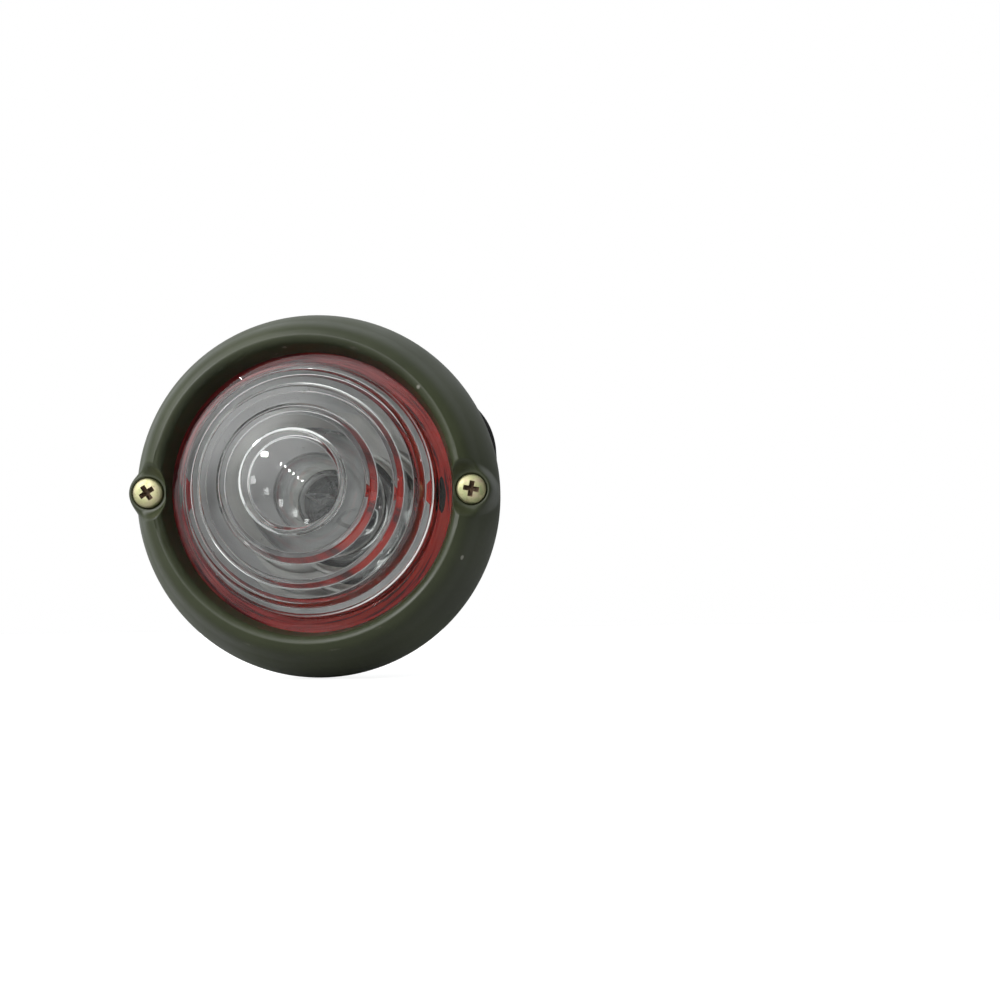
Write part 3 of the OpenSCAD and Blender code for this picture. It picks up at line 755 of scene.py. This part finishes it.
def seated(r, h, rho):
    """Height h of the turned outside, pushed in or drawn out to the boss at rho mm from its axis."""
    u = (rho - BOSS_R + BOSS_EASE) / (DISH_W if h > BOSS_TOP else DRAW_W)
    u = max(0.0, min(1.0, u))
    blend = u * u * (3 - 2 * u)
    if r < CREST_R:
        return smooth_min(h, BOSS_TOP + (CREST_TOP - BOSS_TOP) * blend, DISH_BLEND)
    return BOSS_TOP + (h - BOSS_TOP) * blend


def pressed(r, h, rho, outside):
    """Height of a point of the bezel's outside or inside near a screw."""
    if outside:
        return min(seated(r, h, rho), CREST_TOP)
    if rho < BOSS_R - 0.1:
        return min(h, LIP_H)
    return max(min(h, seated(r, ring_h(r), rho) - BEZEL_WALL + 0.1), min(h, LIP_H))


def bezel_outside():
    """Section from the mouth over the crest to the widest place."""
    run, rise = CREST_R - MOUTH_R, CREST_TOP - CREST_ROUND - LIP_H
    tangent = math.degrees(math.atan2(rise, run) + math.asin(CREST_ROUND / math.hypot(run, rise)))
    crest = arc(CREST_R, CREST_TOP - CREST_ROUND, CREST_ROUND, CREST_ROUND, tangent + 90, 90, 10)
    top_r, top_h = crest[0]
    rows = 14
    wall = [(MOUTH_R + (top_r - MOUTH_R) * i / rows, LIP_H + (top_h - LIP_H) * i / rows) for i in range(rows)]
    side = []
    for r, h in flank(CREST_R, WIDEST_H, BEZEL_R - CREST_R, CREST_TOP - WIDEST_H, 90):
        u = min(1.0, (r - CREST_R) / CREST_FILL_W)
        if r > CREST_R + 0.02:
            side.append((r, h + CREST_FILL * 16 * u * u * (1 - u) ** 2))
    return wall + crest + side


def bezel_skirt():
    """Section of the skirt, which leans in a little and ends in a small round."""
    skirt_r = BEZEL_R - SKIRT_DRAFT
    return [(BEZEL_R - 0.04, WIDEST_H - 0.8), (BEZEL_R - 0.16, WIDEST_H - 1.7),
            (skirt_r, PAD_T + 0.35), (skirt_r - 0.12, PAD_T + 0.1), (skirt_r - 0.4, PAD_T)]


def bezel_inside():
    """Section of the inside, from the skirt to the lip that holds the lens."""
    under = CREST_TOP - BEZEL_WALL
    wall = flank(CREST_R, WIDEST_H, BEZEL_R - BEZEL_WALL - CREST_R, under - WIDEST_H, 40)[::-1]
    return ([(BEZEL_R - SKIRT_DRAFT - BEZEL_WALL, PAD_T)] + wall
            + [(CREST_R - 0.6, under - 1.0), (MOUTH_R + LIP_W + 0.5, LIP_H + 1.6), (MOUTH_R + LIP_W, LIP_H)])


def bezel_angles():
    """Angles of the bezel's section, closer together at the screws."""
    half, fine, coarse = math.radians(SCREW_PLACE), 58, 76
    out = []
    for centre in (0.0, math.pi):
        out += [centre + half * i / fine for i in range(-fine, fine + 1)]
        out += [centre + half + (math.pi - 2 * half) * i / coarse for i in range(1, coarse)]
    return out


def head_pocket():
    """Section of a screw's cutter: shank hole, seat and flared pocket."""
    low, flare_r = LIP_H - 1, POCKET_R + POCKET_FLARE
    return ([(0.0, low), (SCREW_R + SHANK_GAP, low), (SCREW_R + SHANK_GAP, SEAT_H),
             (POCKET_R - POCKET_CORNER, SEAT_H), (POCKET_R, SEAT_H + POCKET_CORNER)]
            + arc(flare_r, BOSS_TOP - POCKET_FLARE, POCKET_FLARE, POCKET_FLARE, 180, 90, 6)
            + [(flare_r, CREST_TOP), (0.0, CREST_TOP)])


def bezel():
    """Pressed ring that is pushed into a dish and drawn into a boss at both screws."""
    outside, skirt = bezel_outside(), bezel_skirt()
    section = outside + skirt + bezel_inside()
    angles = bezel_angles()
    verts = []
    for a in angles:
        for i, (r, h) in enumerate(section):
            x, z = r * math.cos(a), r * math.sin(a)
            rho = math.hypot(abs(x) - SCREW_X, z)
            on_skirt = len(outside) <= i < len(outside) + len(skirt)
            if rho < SCREW_REACH and not on_skirt:
                h = pressed(r, h, rho, i < len(outside))
            verts.append(turned_point(r, h, a))
    obj = paint(mesh_object("bezel_fine", verts, ring_faces(len(angles), len(section))), "olive")
    for side, _ in SIDES:
        cut(obj, solid(turned("pocket", head_pocket(), 96, side * SCREW_X), "olive"))
    finish_piece(obj, "olive", "housing", "bezel", sharp=38)


# Lens and gasket

def lens():
    """Pressed glass with a bull's-eye, stepped rings and a flat flange."""
    top = LIP_H + LENS_H
    outside = [(r, LIP_H + h) for riser in OUTSIDE_RISERS for r, h in riser]
    inside = [(r, LIP_H + h) for riser in INSIDE_RISERS for r, h in riser]
    pts = [(0.0, inside[-1][1])] + inside[::-1] + [(LENS_R, LENS_BACK), (LENS_R, LIP_H)] + outside[:0:-1]
    eye_r, eye_h = outside[0]
    rise = top - eye_h
    sphere = (eye_r ** 2 + rise ** 2) / (2 * rise)
    eye_edge = len(pts)
    pts += arc(0, top - sphere, sphere, sphere, 90 - math.degrees(math.asin(eye_r / sphere)), 90, 14)

    def corner_round(i):
        if i == 0 or i > eye_edge:
            return 0
        return EYE_ROUND if i == eye_edge else STEP_ROUND

    obj = turned("lens_fine", rounded(pts, corner_round), 256)
    finish_piece(obj, "lens", "housing", "lens", sharp=50, flats=True)


def gasket_bore(a):
    """Radius of the gasket's bore at angle a, smaller at its two ears."""
    a = abs((a + math.pi / 2) % math.pi - math.pi / 2)
    tip, lean = GASKET_IN - GASKET_EAR, (GASKET_EAR + 1) / (EAR_HALF - 1)
    if a < math.atan2(EAR_TIP_HALF, tip):
        r = tip / math.cos(a)
    else:
        r = (tip - lean) / max(0.05, math.cos(a) - lean * math.sin(a))
    return smooth_min(GASKET_IN, r, 0.8) + 0.1 if r < GASKET_IN + 3 else GASKET_IN


def gasket_section(a):
    """Section of the gasket at angle a, with the rabbet that the lens sits in."""
    ripple = 0.12 * math.sin(5 * a + 0.8) + 0.07 * math.sin(13 * a)
    bore = gasket_bore(a)
    bore += ripple * (0.5 if bore > GASKET_IN - 0.5 else 0.0)
    rim, top, back, seat = LENS_R + 0.4, LIP_H - 0.4, PAN_FACE + 0.02, LENS_BACK - 0.01
    points = [(bore, back), (GASKET_OUT, back), (GASKET_OUT, GASKET_SHOULDER), (GASKET_OUT - 1.5, top),
              (rim, top), (rim, seat), (bore, seat)]
    return rounded(points, lambda i: 0.5 if i in (0, 6) else 0.2)


def relief(side):
    """Cutter for the shallow lens-shaped relief behind a screw."""
    ring = []
    for i in range(32):
        a = TAU * i / 32
        x = RELIEF_R + RELIEF_HALF_W * math.cos(a) * (1 - 0.25 * abs(math.sin(a)))
        ring.append((side * x, RELIEF_HALF_H * math.sin(a) - RELIEF_DROP))
    return lofted("relief", [[at(x, h, z) for x, z in ring] for h in (RELIEF_FLOOR, LENS_BACK + 1)])


def gasket():
    """Red rubber ring with two inward ears behind the screws, drilled for posts and shanks."""
    steps = 360
    sections = [[turned_point(r, h, TAU * k / steps) for r, h in gasket_section(TAU * k / steps)]
                for k in range(steps)]
    verts = [p for section in sections for p in section]
    obj = solid(mesh_object("gasket_fine", verts, ring_faces(steps, len(sections[0]))), "red")
    for side, _ in SIDES:
        # The relief's cut faces take the dark colour, as painted shade in the relief
        cut(obj, solid(relief(side), "dark_matte"))
    post = (POST_R + POST_GAP, PAN_FACE - 1, POST_TOP + POST_GAP)
    shank = (SCREW_R + SHANK_GAP, POST_TOP - 1, LIP_H + 1)
    drilled(obj, "red", [(side * SCREW_X, 0, *hole) for hole in (post, shank) for side, _ in SIDES])
    finish_piece(obj, "red", "housing", "lens_gasket", sharp=45)


# Screws and their washers

def recess_blade(x, top, turn):
    """Cutter for one bar of the tapered cross recess."""
    rows = [(RECESS_HALF * 1.10, RECESS_ARM * 1.2, top + 0.3), (RECESS_HALF, RECESS_ARM * 1.1, top),
            (RECESS_HALF * 0.62, RECESS_ARM * 0.8, top - RECESS_DEEP * 0.75),
            (RECESS_HALF * 0.22, RECESS_ARM * 0.5, top - RECESS_DEEP)]
    c, s = math.cos(math.radians(turn)), math.sin(math.radians(turn))
    rings = []
    for half, thick, h in rows:
        corners = ((half, thick), (-half, thick), (-half, -thick), (half, -thick))
        rings.append([at(x + u * c - v * s, h, u * s + v * c) for u, v in corners])
    return lofted("cross", rings)


def bezel_screw(side, name, turn):
    """Pan-head screw with a tapered cross recess and a rolled thread."""
    x, top, under = side * SCREW_X, HEAD_SEAT + HEAD_H, HEAD_SEAT + 0.001
    crown = [(0.0, top), (1.4, top - 0.02), (2.4, top - 0.12)]
    crown += arc(HEAD_R - 1.0, top - 1.12, 1.0, 0.88, 62, 0, 8)
    section = [(0.0, under)] + crown + [(HEAD_R - 0.02, HEAD_SEAT + 0.25), (HEAD_R - 0.15, under)]
    head = solid(turned("head", section, 96, x), "zinc")
    # The cut faces of the cross recess and its hub take the dark colour, as painted shade in the recess
    for quarter in (0, 90):
        cut(head, solid(recess_blade(x, top, turn + quarter), "dark_matte"))
    hub = [(0.0, top + 0.2), (1.05, top + 0.2), (0.95, top), (0.55, top - 1.1), (0.0, top - 1.55)]
    cut(head, solid(turned("hub", hub, 32, x), "dark_matte"))
    shank = threaded("shank", SCREW_R - 0.42, SCREW_R - 0.01, SCREW_PITCH, SCREW_TIP, HEAD_SEAT + 0.05, x)
    obj = join(f"bezel_screw_{name}_fine", [head, paint(shank, "zinc")])
    finish_piece(obj, "zinc", f"screw_{name}", f"bezel_screw_{name}", sharp=40)


def seal(side, name):
    """Rubber washer under a screw's head."""
    section = rounded([(SEAL_BORE, SEAT_H), (SEAL_R, SEAT_H), (SEAL_R, HEAD_SEAT), (SEAL_BORE, HEAD_SEAT)],
                      0.15, 3)
    ring = turned("seal", section, 64, side * SCREW_X)
    piece(f"screw_seal_{name}", [ring], "black", f"seal_{name}")


# Bulb

def bulb_outline(inset):
    """Half outline of the globe and its neck, inset by a wall's thickness."""
    globe, neck, fillet = BULB_R - inset, NECK_R - inset, 4 + inset
    drop = math.sqrt((globe + fillet) ** 2 - (neck + fillet) ** 2)
    meet = math.degrees(math.atan2(drop, neck + fillet))
    return (arc(0, FILAMENT_H, globe, globe, 90, -meet, 48)
            + arc(neck + fillet, FILAMENT_H - drop, fillet, fillet, 180 - meet, 180, 10)[1:]
            + [(neck, NECK_BOTTOM + 0.15)])


def bulb_glass():
    """Blown globe with an open neck."""
    section = (bulb_outline(0.0) + [(NECK_R - BULB_WALL / 2, NECK_BOTTOM)] + bulb_outline(BULB_WALL)[::-1])
    piece("bulb_glass", [turned("glass", section, 128)], "bulb", "bulb", 60)


def bulb_stem():
    """Glass stem: a flared foot that is pinched flat round the leads."""
    foot, sides = NECK_R - BULB_WALL - 0.35, 48
    rows = [(foot, foot, NECK_BOTTOM), (foot - 0.1, foot - 0.1, NECK_BOTTOM + 0.5),
            (3.6, 3.6, NECK_BOTTOM + 1.5), (2.3, 2.3, NECK_BOTTOM + 2.6), (2.0, 1.9, 0.9), (2.2, 1.3, 1.6),
            (2.5, 0.95, 2.2), (2.6, 0.85, 2.8), (2.6, 0.85, 4.5), (2.45, 0.7, 4.8)]
    rings = []
    for rx, rz, h in rows:
        flat = 2 + 2.5 * max(0.0, 1 - rz / rx)
        ring = []
        for s in range(sides):
            c, d = math.cos(TAU * s / sides), math.sin(TAU * s / sides)
            k = (abs(c) ** flat + abs(d) ** flat) ** (-1 / flat)
            ring.append(at(rx * k * c, h, rz * k * d))
        rings.append(ring)
    piece("bulb_stem", [lofted("stem", rings)], "bulb", "bulb", 50)


def bulb_leads():
    """Two lead wires that end in small hooks round the filament's ends."""
    leads = []
    for side, _ in SIDES:
        lead, hook = [], []
        for t in range(13):
            x = side * (FILAMENT_R + 0.12 * math.sin(3 * t / 12))
            lead.append((x, LEAD_FOOT + (FILAMENT_H - LEAD_FOOT) * t / 12, 0.05 * math.sin(t)))
        for u in range(6):
            x = side * (FILAMENT_R + 0.3 * math.cos(u))
            hook.append((x, FILAMENT_H + 0.1 + 0.1 * u, 0.28 * math.sin(u)))
        leads += [tube("lead", lead, LEAD_R, 12), tube("hook", hook, HOOK_R, 8)]
    piece("bulb_leads", leads, "steel", "bulb", 50)


def bulb_filament():
    """Coiled wire along a half circle between the leads."""
    coil, steps = [], FILAMENT_TURNS * 14
    for i in range(steps + 1):
        u = i / steps
        a, w = math.pi * (1 - u), TAU * FILAMENT_TURNS * u
        r = FILAMENT_R + COIL_R * math.cos(w)
        coil.append((r * math.cos(a), FILAMENT_H + r * math.sin(a), COIL_R * math.sin(w)))
    piece("bulb_filament", [tube("filament", coil, COIL_WIRE_R, 6)], "tungsten", "bulb", 60)


def bayonet_pin(side):
    """Pin on the cap's side with a rounded end."""
    sides = 32
    rows = [(0.0, CAP_R - 0.3), (PIN_R - 0.05, CAP_R - 0.3), (PIN_R, CAP_R + 0.1), (PIN_R, CAP_R + 0.75)]
    rows += [(PIN_R - 0.25 + 0.25 * math.cos(b), CAP_R + 0.75 + 0.25 * math.sin(b)) for b in (0.5, 1.0, 1.57)]
    rows += [(0.0, CAP_R + 1.0)]
    verts = [at(side * x, PIN_H + r * math.cos(TAU * s / sides), r * math.sin(TAU * s / sides))
             for r, x in rows for s in range(sides)]
    return mesh_object("pin", verts, ring_faces(len(rows), sides, closed=False))


def bulb_cap():
    """Bayonet cap with a groove under its rim, two pins, and cement inside."""
    inner, cement_h = CAP_R - CAP_WALL, CAP_TOP - 0.2
    rim = [(inner, CAP_TOP - 0.12), (inner + 0.1, CAP_TOP), (CAP_R - 0.1, CAP_TOP), (CAP_R, CAP_TOP - 0.12)]
    groove = [(CAP_R, CAP_TOP - 0.7), (CAP_R - 0.1, CAP_TOP - 0.95), (CAP_R - 0.1, CAP_TOP - 1.15),
              (CAP_R, CAP_TOP - 1.4)]
    corner = (CAP_R - CAP_ROUND, CAP_BOTTOM + CAP_ROUND)
    low = arc(*corner, CAP_ROUND, CAP_ROUND, 0, -90, 8)
    inside = [(CAP_HOLE_R, CAP_BOTTOM), (CAP_HOLE_R, CAP_BOTTOM + CAP_WALL)]
    inside += arc(*corner, CAP_ROUND - CAP_WALL, CAP_ROUND - CAP_WALL, -90, 0, 8)
    parts = [turned("cap", rim + groove + low + inside, 128)] + [bayonet_pin(side) for side, _ in SIDES]
    cap = piece("bulb_cap", parts, "cap", "bulb")
    paint(cap, "cement")
    for f in cap.data.polygons:
        c = f.center / MM
        inward = f.normal.x * c.x + f.normal.z * c.z < 0 or f.normal.y < -0.5
        if math.hypot(c.x, c.z) < CAP_R - 0.25 and inward and -c.y < cement_h:
            f.material_index = 1


def bulb_foot():
    """Black glass insulator in the cap's hole, with the solder contact on it."""
    wall_r = CAP_HOLE_R - 0.02
    section = [(0.0, CAP_BOTTOM + 0.02), (CAP_HOLE_R - 0.15, CAP_BOTTOM + 0.02), (wall_r, CAP_BOTTOM + 0.15),
               (wall_r, CAP_BOTTOM + CAP_WALL), (CAP_HOLE_R - 0.4, CAP_BOTTOM + 1.2), (0.0, CAP_BOTTOM + 1.2)]
    piece("bulb_insulator", [turned("insulator", section, 96)], "vitrite", "bulb")
    blob = arc(0.9, CAP_BOTTOM, 1.55, 0.97, -80, 0, 8)
    blob = [(0.0, CAP_BOTTOM - 1.0)] + blob + [(0.0, CAP_BOTTOM + 0.01)]
    piece("bulb_contact", [turned("contact", blob, 48)], "solder", "bulb", 60)


# Bulb holder

def rivet(turn):
    """Rivet through pan and socket, and at one turn through the earth blade."""
    back = CUP_BACK - (BLADE_T if turn == EARTH_TURN else 0.0)
    front = CUP_FLOOR + SOCKET_FLANGE
    dome, dome_h = RIVET_HEAD_R - RIVET_R, RIVET_HEAD_H - 0.05
    section = [(0.0, back - RIVET_HEAD_H)] + arc(RIVET_R, back - 0.05, dome, dome_h, -90, 0, 6)
    section += [(RIVET_HEAD_R, back), (RIVET_R, back), (RIVET_R, front), (RIVET_HEAD_R, front)]
    section += arc(RIVET_HEAD_R / 2, front + 0.05, RIVET_HEAD_R / 2, dome_h, 0, 90, 6)
    section += [(0.0, front + RIVET_HEAD_H)]
    return moved(turned("rivet", section, 40), *polar(RIVET_RING, turn))


def disc(name, low, high, bore):
    """Fibre disc that fits the socket, with rounded outer edges."""
    edge = SOCKET_BORE - 0.05
    corners = [(bore, low), (edge, low), (edge, high), (bore, high)]
    return turned(name, rounded(corners, lambda i: 0.2 if i in (1, 2) else 0, 3), 96)


def contact_carrier():
    """Sprung fibre disc that carries the contact pin."""
    carrier = disc("carrier", CARRIER_BACK, CARRIER_FACE, CARRIER_BORE)
    piece("contact_carrier", [carrier], "fibre", "plunger")
    tail, pin_r, face = CARRIER_BACK - 3, CARRIER_BORE, CARRIER_FACE
    section = [(0.0, tail), (pin_r - 0.4, tail), (pin_r - 0.1, tail + 0.2), (pin_r, tail + 0.5),
               (pin_r, face), (2.5, face), (2.6, face + 0.1), (2.5, face + 0.32), (1.2, face + 0.4),
               (0.0, face + 0.4)]
    piece("contact_pin", [turned("pin", section, 48)], "brass", "plunger")


def contact_spring():
    """Coil spring with nearly flat end turns."""
    low, high = SPRING_LOW + SPRING_WIRE_R, CARRIER_BACK - SPRING_WIRE_R
    end_share, end_rise, steps = 0.12, 0.3, SPRING_TURNS * 40
    path = []
    for i in range(steps + 1):
        u = i / steps
        a = TAU * SPRING_TURNS * u
        middle = min(max((u - end_share) / (1 - 2 * end_share), 0.0), 1.0)
        ends = min(u / end_share, 1.0) + max(0.0, (u - 1 + end_share) / end_share)
        h = low + end_rise * ends + (high - low - 2 * end_rise) * middle
        path.append((SPRING_R * math.cos(a), h, SPRING_R * math.sin(a)))
    coil = tube("spring", path, SPRING_WIRE_R, 10)
    spring = piece("contact_spring", [coil], "steel", "housing", 60)
    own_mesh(spring)


def socket():
    """Shell, blades, rivets, contact carrier, spring and rear insulator."""
    dressed("socket_shell", "steel", 0.08)
    dressed("live_terminal", "brass", 0.14)
    dressed("earth_terminal", "steel", 0.14)
    piece("socket_rivets", [rivet(turn) for turn in RIVET_TURNS], "steel", "housing")
    contact_carrier()
    contact_spring()
    rear = disc("rear_insulator", SOCKET_BACK, SPRING_LOW, 1.2)
    piece("socket_insulator", [rear], "fibre", "housing")


# Pan, posts, studs and pad

def housing_pan():
    """Pan: flange and cup in one pressing, with its holes."""
    corner = (CUP_R - CUP_ROUND, -CUP_DEPTH)
    inner_round, lip_round = CUP_ROUND - PAN_WALL, CUP_LIP + PAN_WALL
    section = [(PAN_R - 0.15, PAN_BACK), (PAN_R, PAN_BACK + 0.15), (PAN_R, PAN_FACE - 0.15),
               (PAN_R - 0.15, PAN_FACE)]
    section += arc(CUP_R + CUP_LIP, PAN_BACK - CUP_LIP, lip_round, lip_round, 90, 180, 12)
    section += arc(*corner, inner_round, inner_round, 0, -90, 14)
    section += [(SOCKET_HOLE_R, CUP_FLOOR), (SOCKET_HOLE_R, CUP_BACK)]
    section += arc(*corner, CUP_ROUND, CUP_ROUND, -90, 0, 14) + [(CUP_R, PAN_BACK)]
    obj = solid(turned("pan", section), "plate")
    through_floor = (CUP_BACK - 2, CUP_FLOOR + 2)
    holes = [(*polar(RIVET_RING, turn), RIVET_R, *through_floor) for turn in RIVET_TURNS]
    holes += [(0.0, DRAIN_Z, DRAIN_R, *through_floor)]
    holes += [(side * SCREW_X, 0.0, SPIGOT_R, PAN_BACK - 2, PAN_FACE + 2) for side, _ in SIDES]
    drilled(obj, "plate", holes)
    obj.name = "housing_pan_fine"
    finish_piece(obj, "plate", "housing", "housing_pan")


def screw_posts():
    """Tapped posts with a spigot that is riveted over behind the pan."""
    head, back = POST_HEAD_R, POST_HEAD_BACK
    section = [(0.0, back), (head - 0.3, back), (head - 0.1, back + 0.15), (head, back + 0.4),
               (head, PAN_BACK), (SPIGOT_R, PAN_BACK), (SPIGOT_R, PAN_FACE), (POST_R, PAN_FACE),
               (POST_R, POST_TOP - 0.4), (POST_R - 0.1, POST_TOP - 0.2), (POST_R - 0.3, POST_TOP - 0.05),
               (POST_R - 0.5, POST_TOP), (TAP_R + 0.3, POST_TOP), (TAP_R, POST_TOP - 0.3),
               (TAP_R, TAP_END), (0.0, TAP_END)]
    posts = [turned("post", section, 64, side * SCREW_X) for side, _ in SIDES]
    piece("screw_posts", posts, "steel", "housing")


def mounting_studs():
    """Weld studs with a collar, a plain neck and a rolled thread."""
    collar = [(0.0, COLLAR_BACK), (COLLAR_R - 0.3, COLLAR_BACK), (COLLAR_R - 0.1, COLLAR_BACK + 0.08),
              (COLLAR_R, COLLAR_BACK + 0.3), (COLLAR_R, PAN_BACK), (0.0, PAN_BACK)]
    neck_r, top = STUD_R - 0.05, COLLAR_BACK + 0.1
    neck = [(0.0, -0.7), (neck_r - 0.15, -0.7), (neck_r, -0.5), (neck_r, top), (0.0, top)]
    studs = []
    for turn in STUD_TURNS:
        x, z = polar(STUD_RING, turn)
        studs.append(moved(turned("collar", collar, 64), x, z))
        studs.append(threaded("stud", STUD_R - 0.43, STUD_R - 0.01, STUD_PITCH, STUD_END, -0.5, x, z, 32, 8))
        studs.append(moved(turned("neck", neck, 40), x, z))
    piece("mounting_studs", studs, "steel", "housing")


def pad_outline():
    """Outline of the pad: a circle with a rounded ear at each stud."""
    lean = math.acos((PAD_R - PAD_EAR_R) / PAD_EAR_RING)
    span = math.pi - 2 * lean
    outline = []
    for turn in STUD_TURNS:
        base, (cx, cz) = math.radians(turn), polar(PAD_EAR_RING, turn)
        ear = [base + lean * (2 * i / 24 - 1) for i in range(25)]
        outline += [(cx + PAD_EAR_R * math.cos(a), cz + PAD_EAR_R * math.sin(a)) for a in ear]
        rest = [base + lean + span * i / 60 for i in range(1, 60)]
        outline += [(PAD_R * math.cos(a), PAD_R * math.sin(a)) for a in rest]
    return outline


def mounting_pad():
    """Black rubber pad between the pan and the panel, with soft edges and its holes."""
    edge = [(0.5, 0.0), (0.15, 0.12), (0.0, 0.45)]
    rings = []
    for inset, h in edge + [(inset, PAD_T - h) for inset, h in edge[::-1]]:
        ring = []
        for x, z in pad_outline():
            k = 1 - inset / math.hypot(x, z)
            ring.append(at(x * k, h, z * k))
        rings.append(ring)
    obj = solid(lofted("mounting_pad_fine", rings), "black")
    low, high = -2, 5
    opening = [(0.0, low), (PAD_OPENING_R, low), (PAD_OPENING_R, high), (0.0, high)]
    cut(obj, solid(turned("opening", opening, 160), "black"))
    holes = [(side * SCREW_X, 0.0, PAD_POST_R, low, high) for side, _ in SIDES]
    holes += [(*polar(STUD_RING, turn), PAD_STUD_R, low, high) for turn in STUD_TURNS]
    drilled(obj, "black", holes)
    finish_piece(obj, "black", "housing", "mounting_pad")


bezel()
lens()
gasket()
for (side, name), turn in zip(SIDES, SCREW_TURNS):
    bezel_screw(side, name, turn)
bulb_glass()
bulb_stem()
bulb_leads()
bulb_filament()
bulb_cap()
bulb_foot()
socket()
housing_pan()
screw_posts()
mounting_studs()
mounting_pad()
for side, name in SIDES:
    seal(side, name)


# Light, ground and camera

def area(name, direction, size, energy):
    """Rectangular lamp that shines on the part from a direction."""
    lamp = bpy.data.lights.new(name, "AREA")
    lamp.shape, lamp.size, lamp.size_y, lamp.energy = "RECTANGLE", size[0], size[1], energy
    obj = link(bpy.data.objects.new(name, lamp))
    d = Vector(direction).normalized()
    obj.location = Vector(LAMP_TARGET) + d * LAMP_DISTANCE
    obj.rotation_euler = d.to_track_quat("Z", "Y").to_euler()


def surroundings():
    """White backdrop, and for reflections a dim room that is paler above, with a soft glow."""
    world = bpy.data.worlds.new("studio")
    bpy.context.scene.world = world
    world.use_nodes = True
    t = world.node_tree
    ray = t.nodes.new("ShaderNodeTexCoord").outputs["Generated"]
    upward = remap(t, vector_of(t, "DOT_PRODUCT", ray, (-0.40, 0.42, 0.81)), -1, 1, 0, 1)
    room = ramp_of(t, upward, (0.20, (0.03, 0.03, 0.03)), (0.50, (0.16, 0.165, 0.165)),
                   (0.82, (0.62, 0.64, 0.64)))
    glow = remap(t, vector_of(t, "DOT_PRODUCT", ray, (-0.52, -0.68, 0.52)), 0.78, 0.995, 0.0, 3.4)
    glow.node.interpolation_type = "SMOOTHERSTEP"
    reflected = t.nodes["Background"]
    t.links.new(vector_of(t, "ADD", room, glow), reflected.inputs["Color"])
    white = t.nodes.new("ShaderNodeBackground")
    white.inputs["Color"].default_value = (1, 1, 1, 1)
    path = t.nodes.new("ShaderNodeLightPath")
    aside = remap(t, vector_of(t, "DOT_PRODUCT", ray, (-0.7, 0.1, 0.7)), 0.0, 0.6, 0.5, 1.0)
    through_glass = number_of(t, "MULTIPLY", path.outputs["Is Transmission Ray"], aside)
    mix = t.nodes.new("ShaderNodeMixShader")
    t.links.new(number_of(t, "MAXIMUM", path.outputs["Is Camera Ray"], through_glass), mix.inputs["Fac"])
    t.links.new(reflected.outputs[0], mix.inputs[1])
    t.links.new(white.outputs[0], mix.inputs[2])
    t.links.new(mix.outputs[0], t.nodes["World Output"].inputs["Surface"])


def lamps():
    """A small window and a row of six lamps, which the glass mirrors."""
    area("window", (-0.426, -0.81, 0.341), (0.055, 0.036), 1.5)
    for i in range(6):
        direction = (-0.304 + 0.194 * i / 5, -0.93, 0.275 - 0.158 * i / 5)
        area(f"lamp_{i}", direction, (0.012, 0.018), 0.06)


def ground():
    """Pale floor that keeps the part's shadow."""
    m, t, b = shader("pale_floor", (0.5, 0.5, 0.5), 0.9, specular=0.1)
    tint_of(t, b, ramp_of(t, noise_of(t, 6, 3), (0.3, (0.48, 0.48, 0.48)), (0.7, (0.51, 0.51, 0.51))))
    to_camera = t.nodes.new("ShaderNodeLightPath").outputs["Is Camera Ray"]
    b.inputs["Emission Color"].default_value = (1, 1, 1, 1)
    t.links.new(remap(t, to_camera, 0, 1, 0.0, 0.82), b.inputs["Emission Strength"])
    n = 24
    row = n + 1
    places = [-FLOOR_HALF + 2 * FLOOR_HALF * i / n for i in range(row)]
    verts = [(x, y, 0.0) for x in places for y in places]
    faces = [(i * row + j, (i + 1) * row + j, (i + 1) * row + j + 1, i * row + j + 1)
             for i in range(n) for j in range(n)]
    floor = mesh_object("floor", verts, faces)
    floor.data.materials.append(m)
    floor.location = (0, 0, -BEZEL_R * MM - FLOOR_GAP)


def camera():
    """The photo's viewpoint, to the right of the part and below it."""
    cam = bpy.data.cameras.new("camera")
    cam.sensor_fit, cam.sensor_width = "HORIZONTAL", SENSOR_W
    cam.lens = SENSOR_W * FOCAL_WIDTHS
    cam.shift_x, cam.shift_y = CAMERA_SHIFT
    cam.clip_start = 0.01
    obj = link(bpy.data.objects.new("camera", cam))
    obj.location = CAMERA_AT
    obj.rotation_euler = (math.radians(90), math.radians(CAMERA_ROLL), 0)
    bpy.context.scene.camera = obj


surroundings()
lamps()
ground()
camera()
bpy.context.scene.view_settings.view_transform = "Standard"
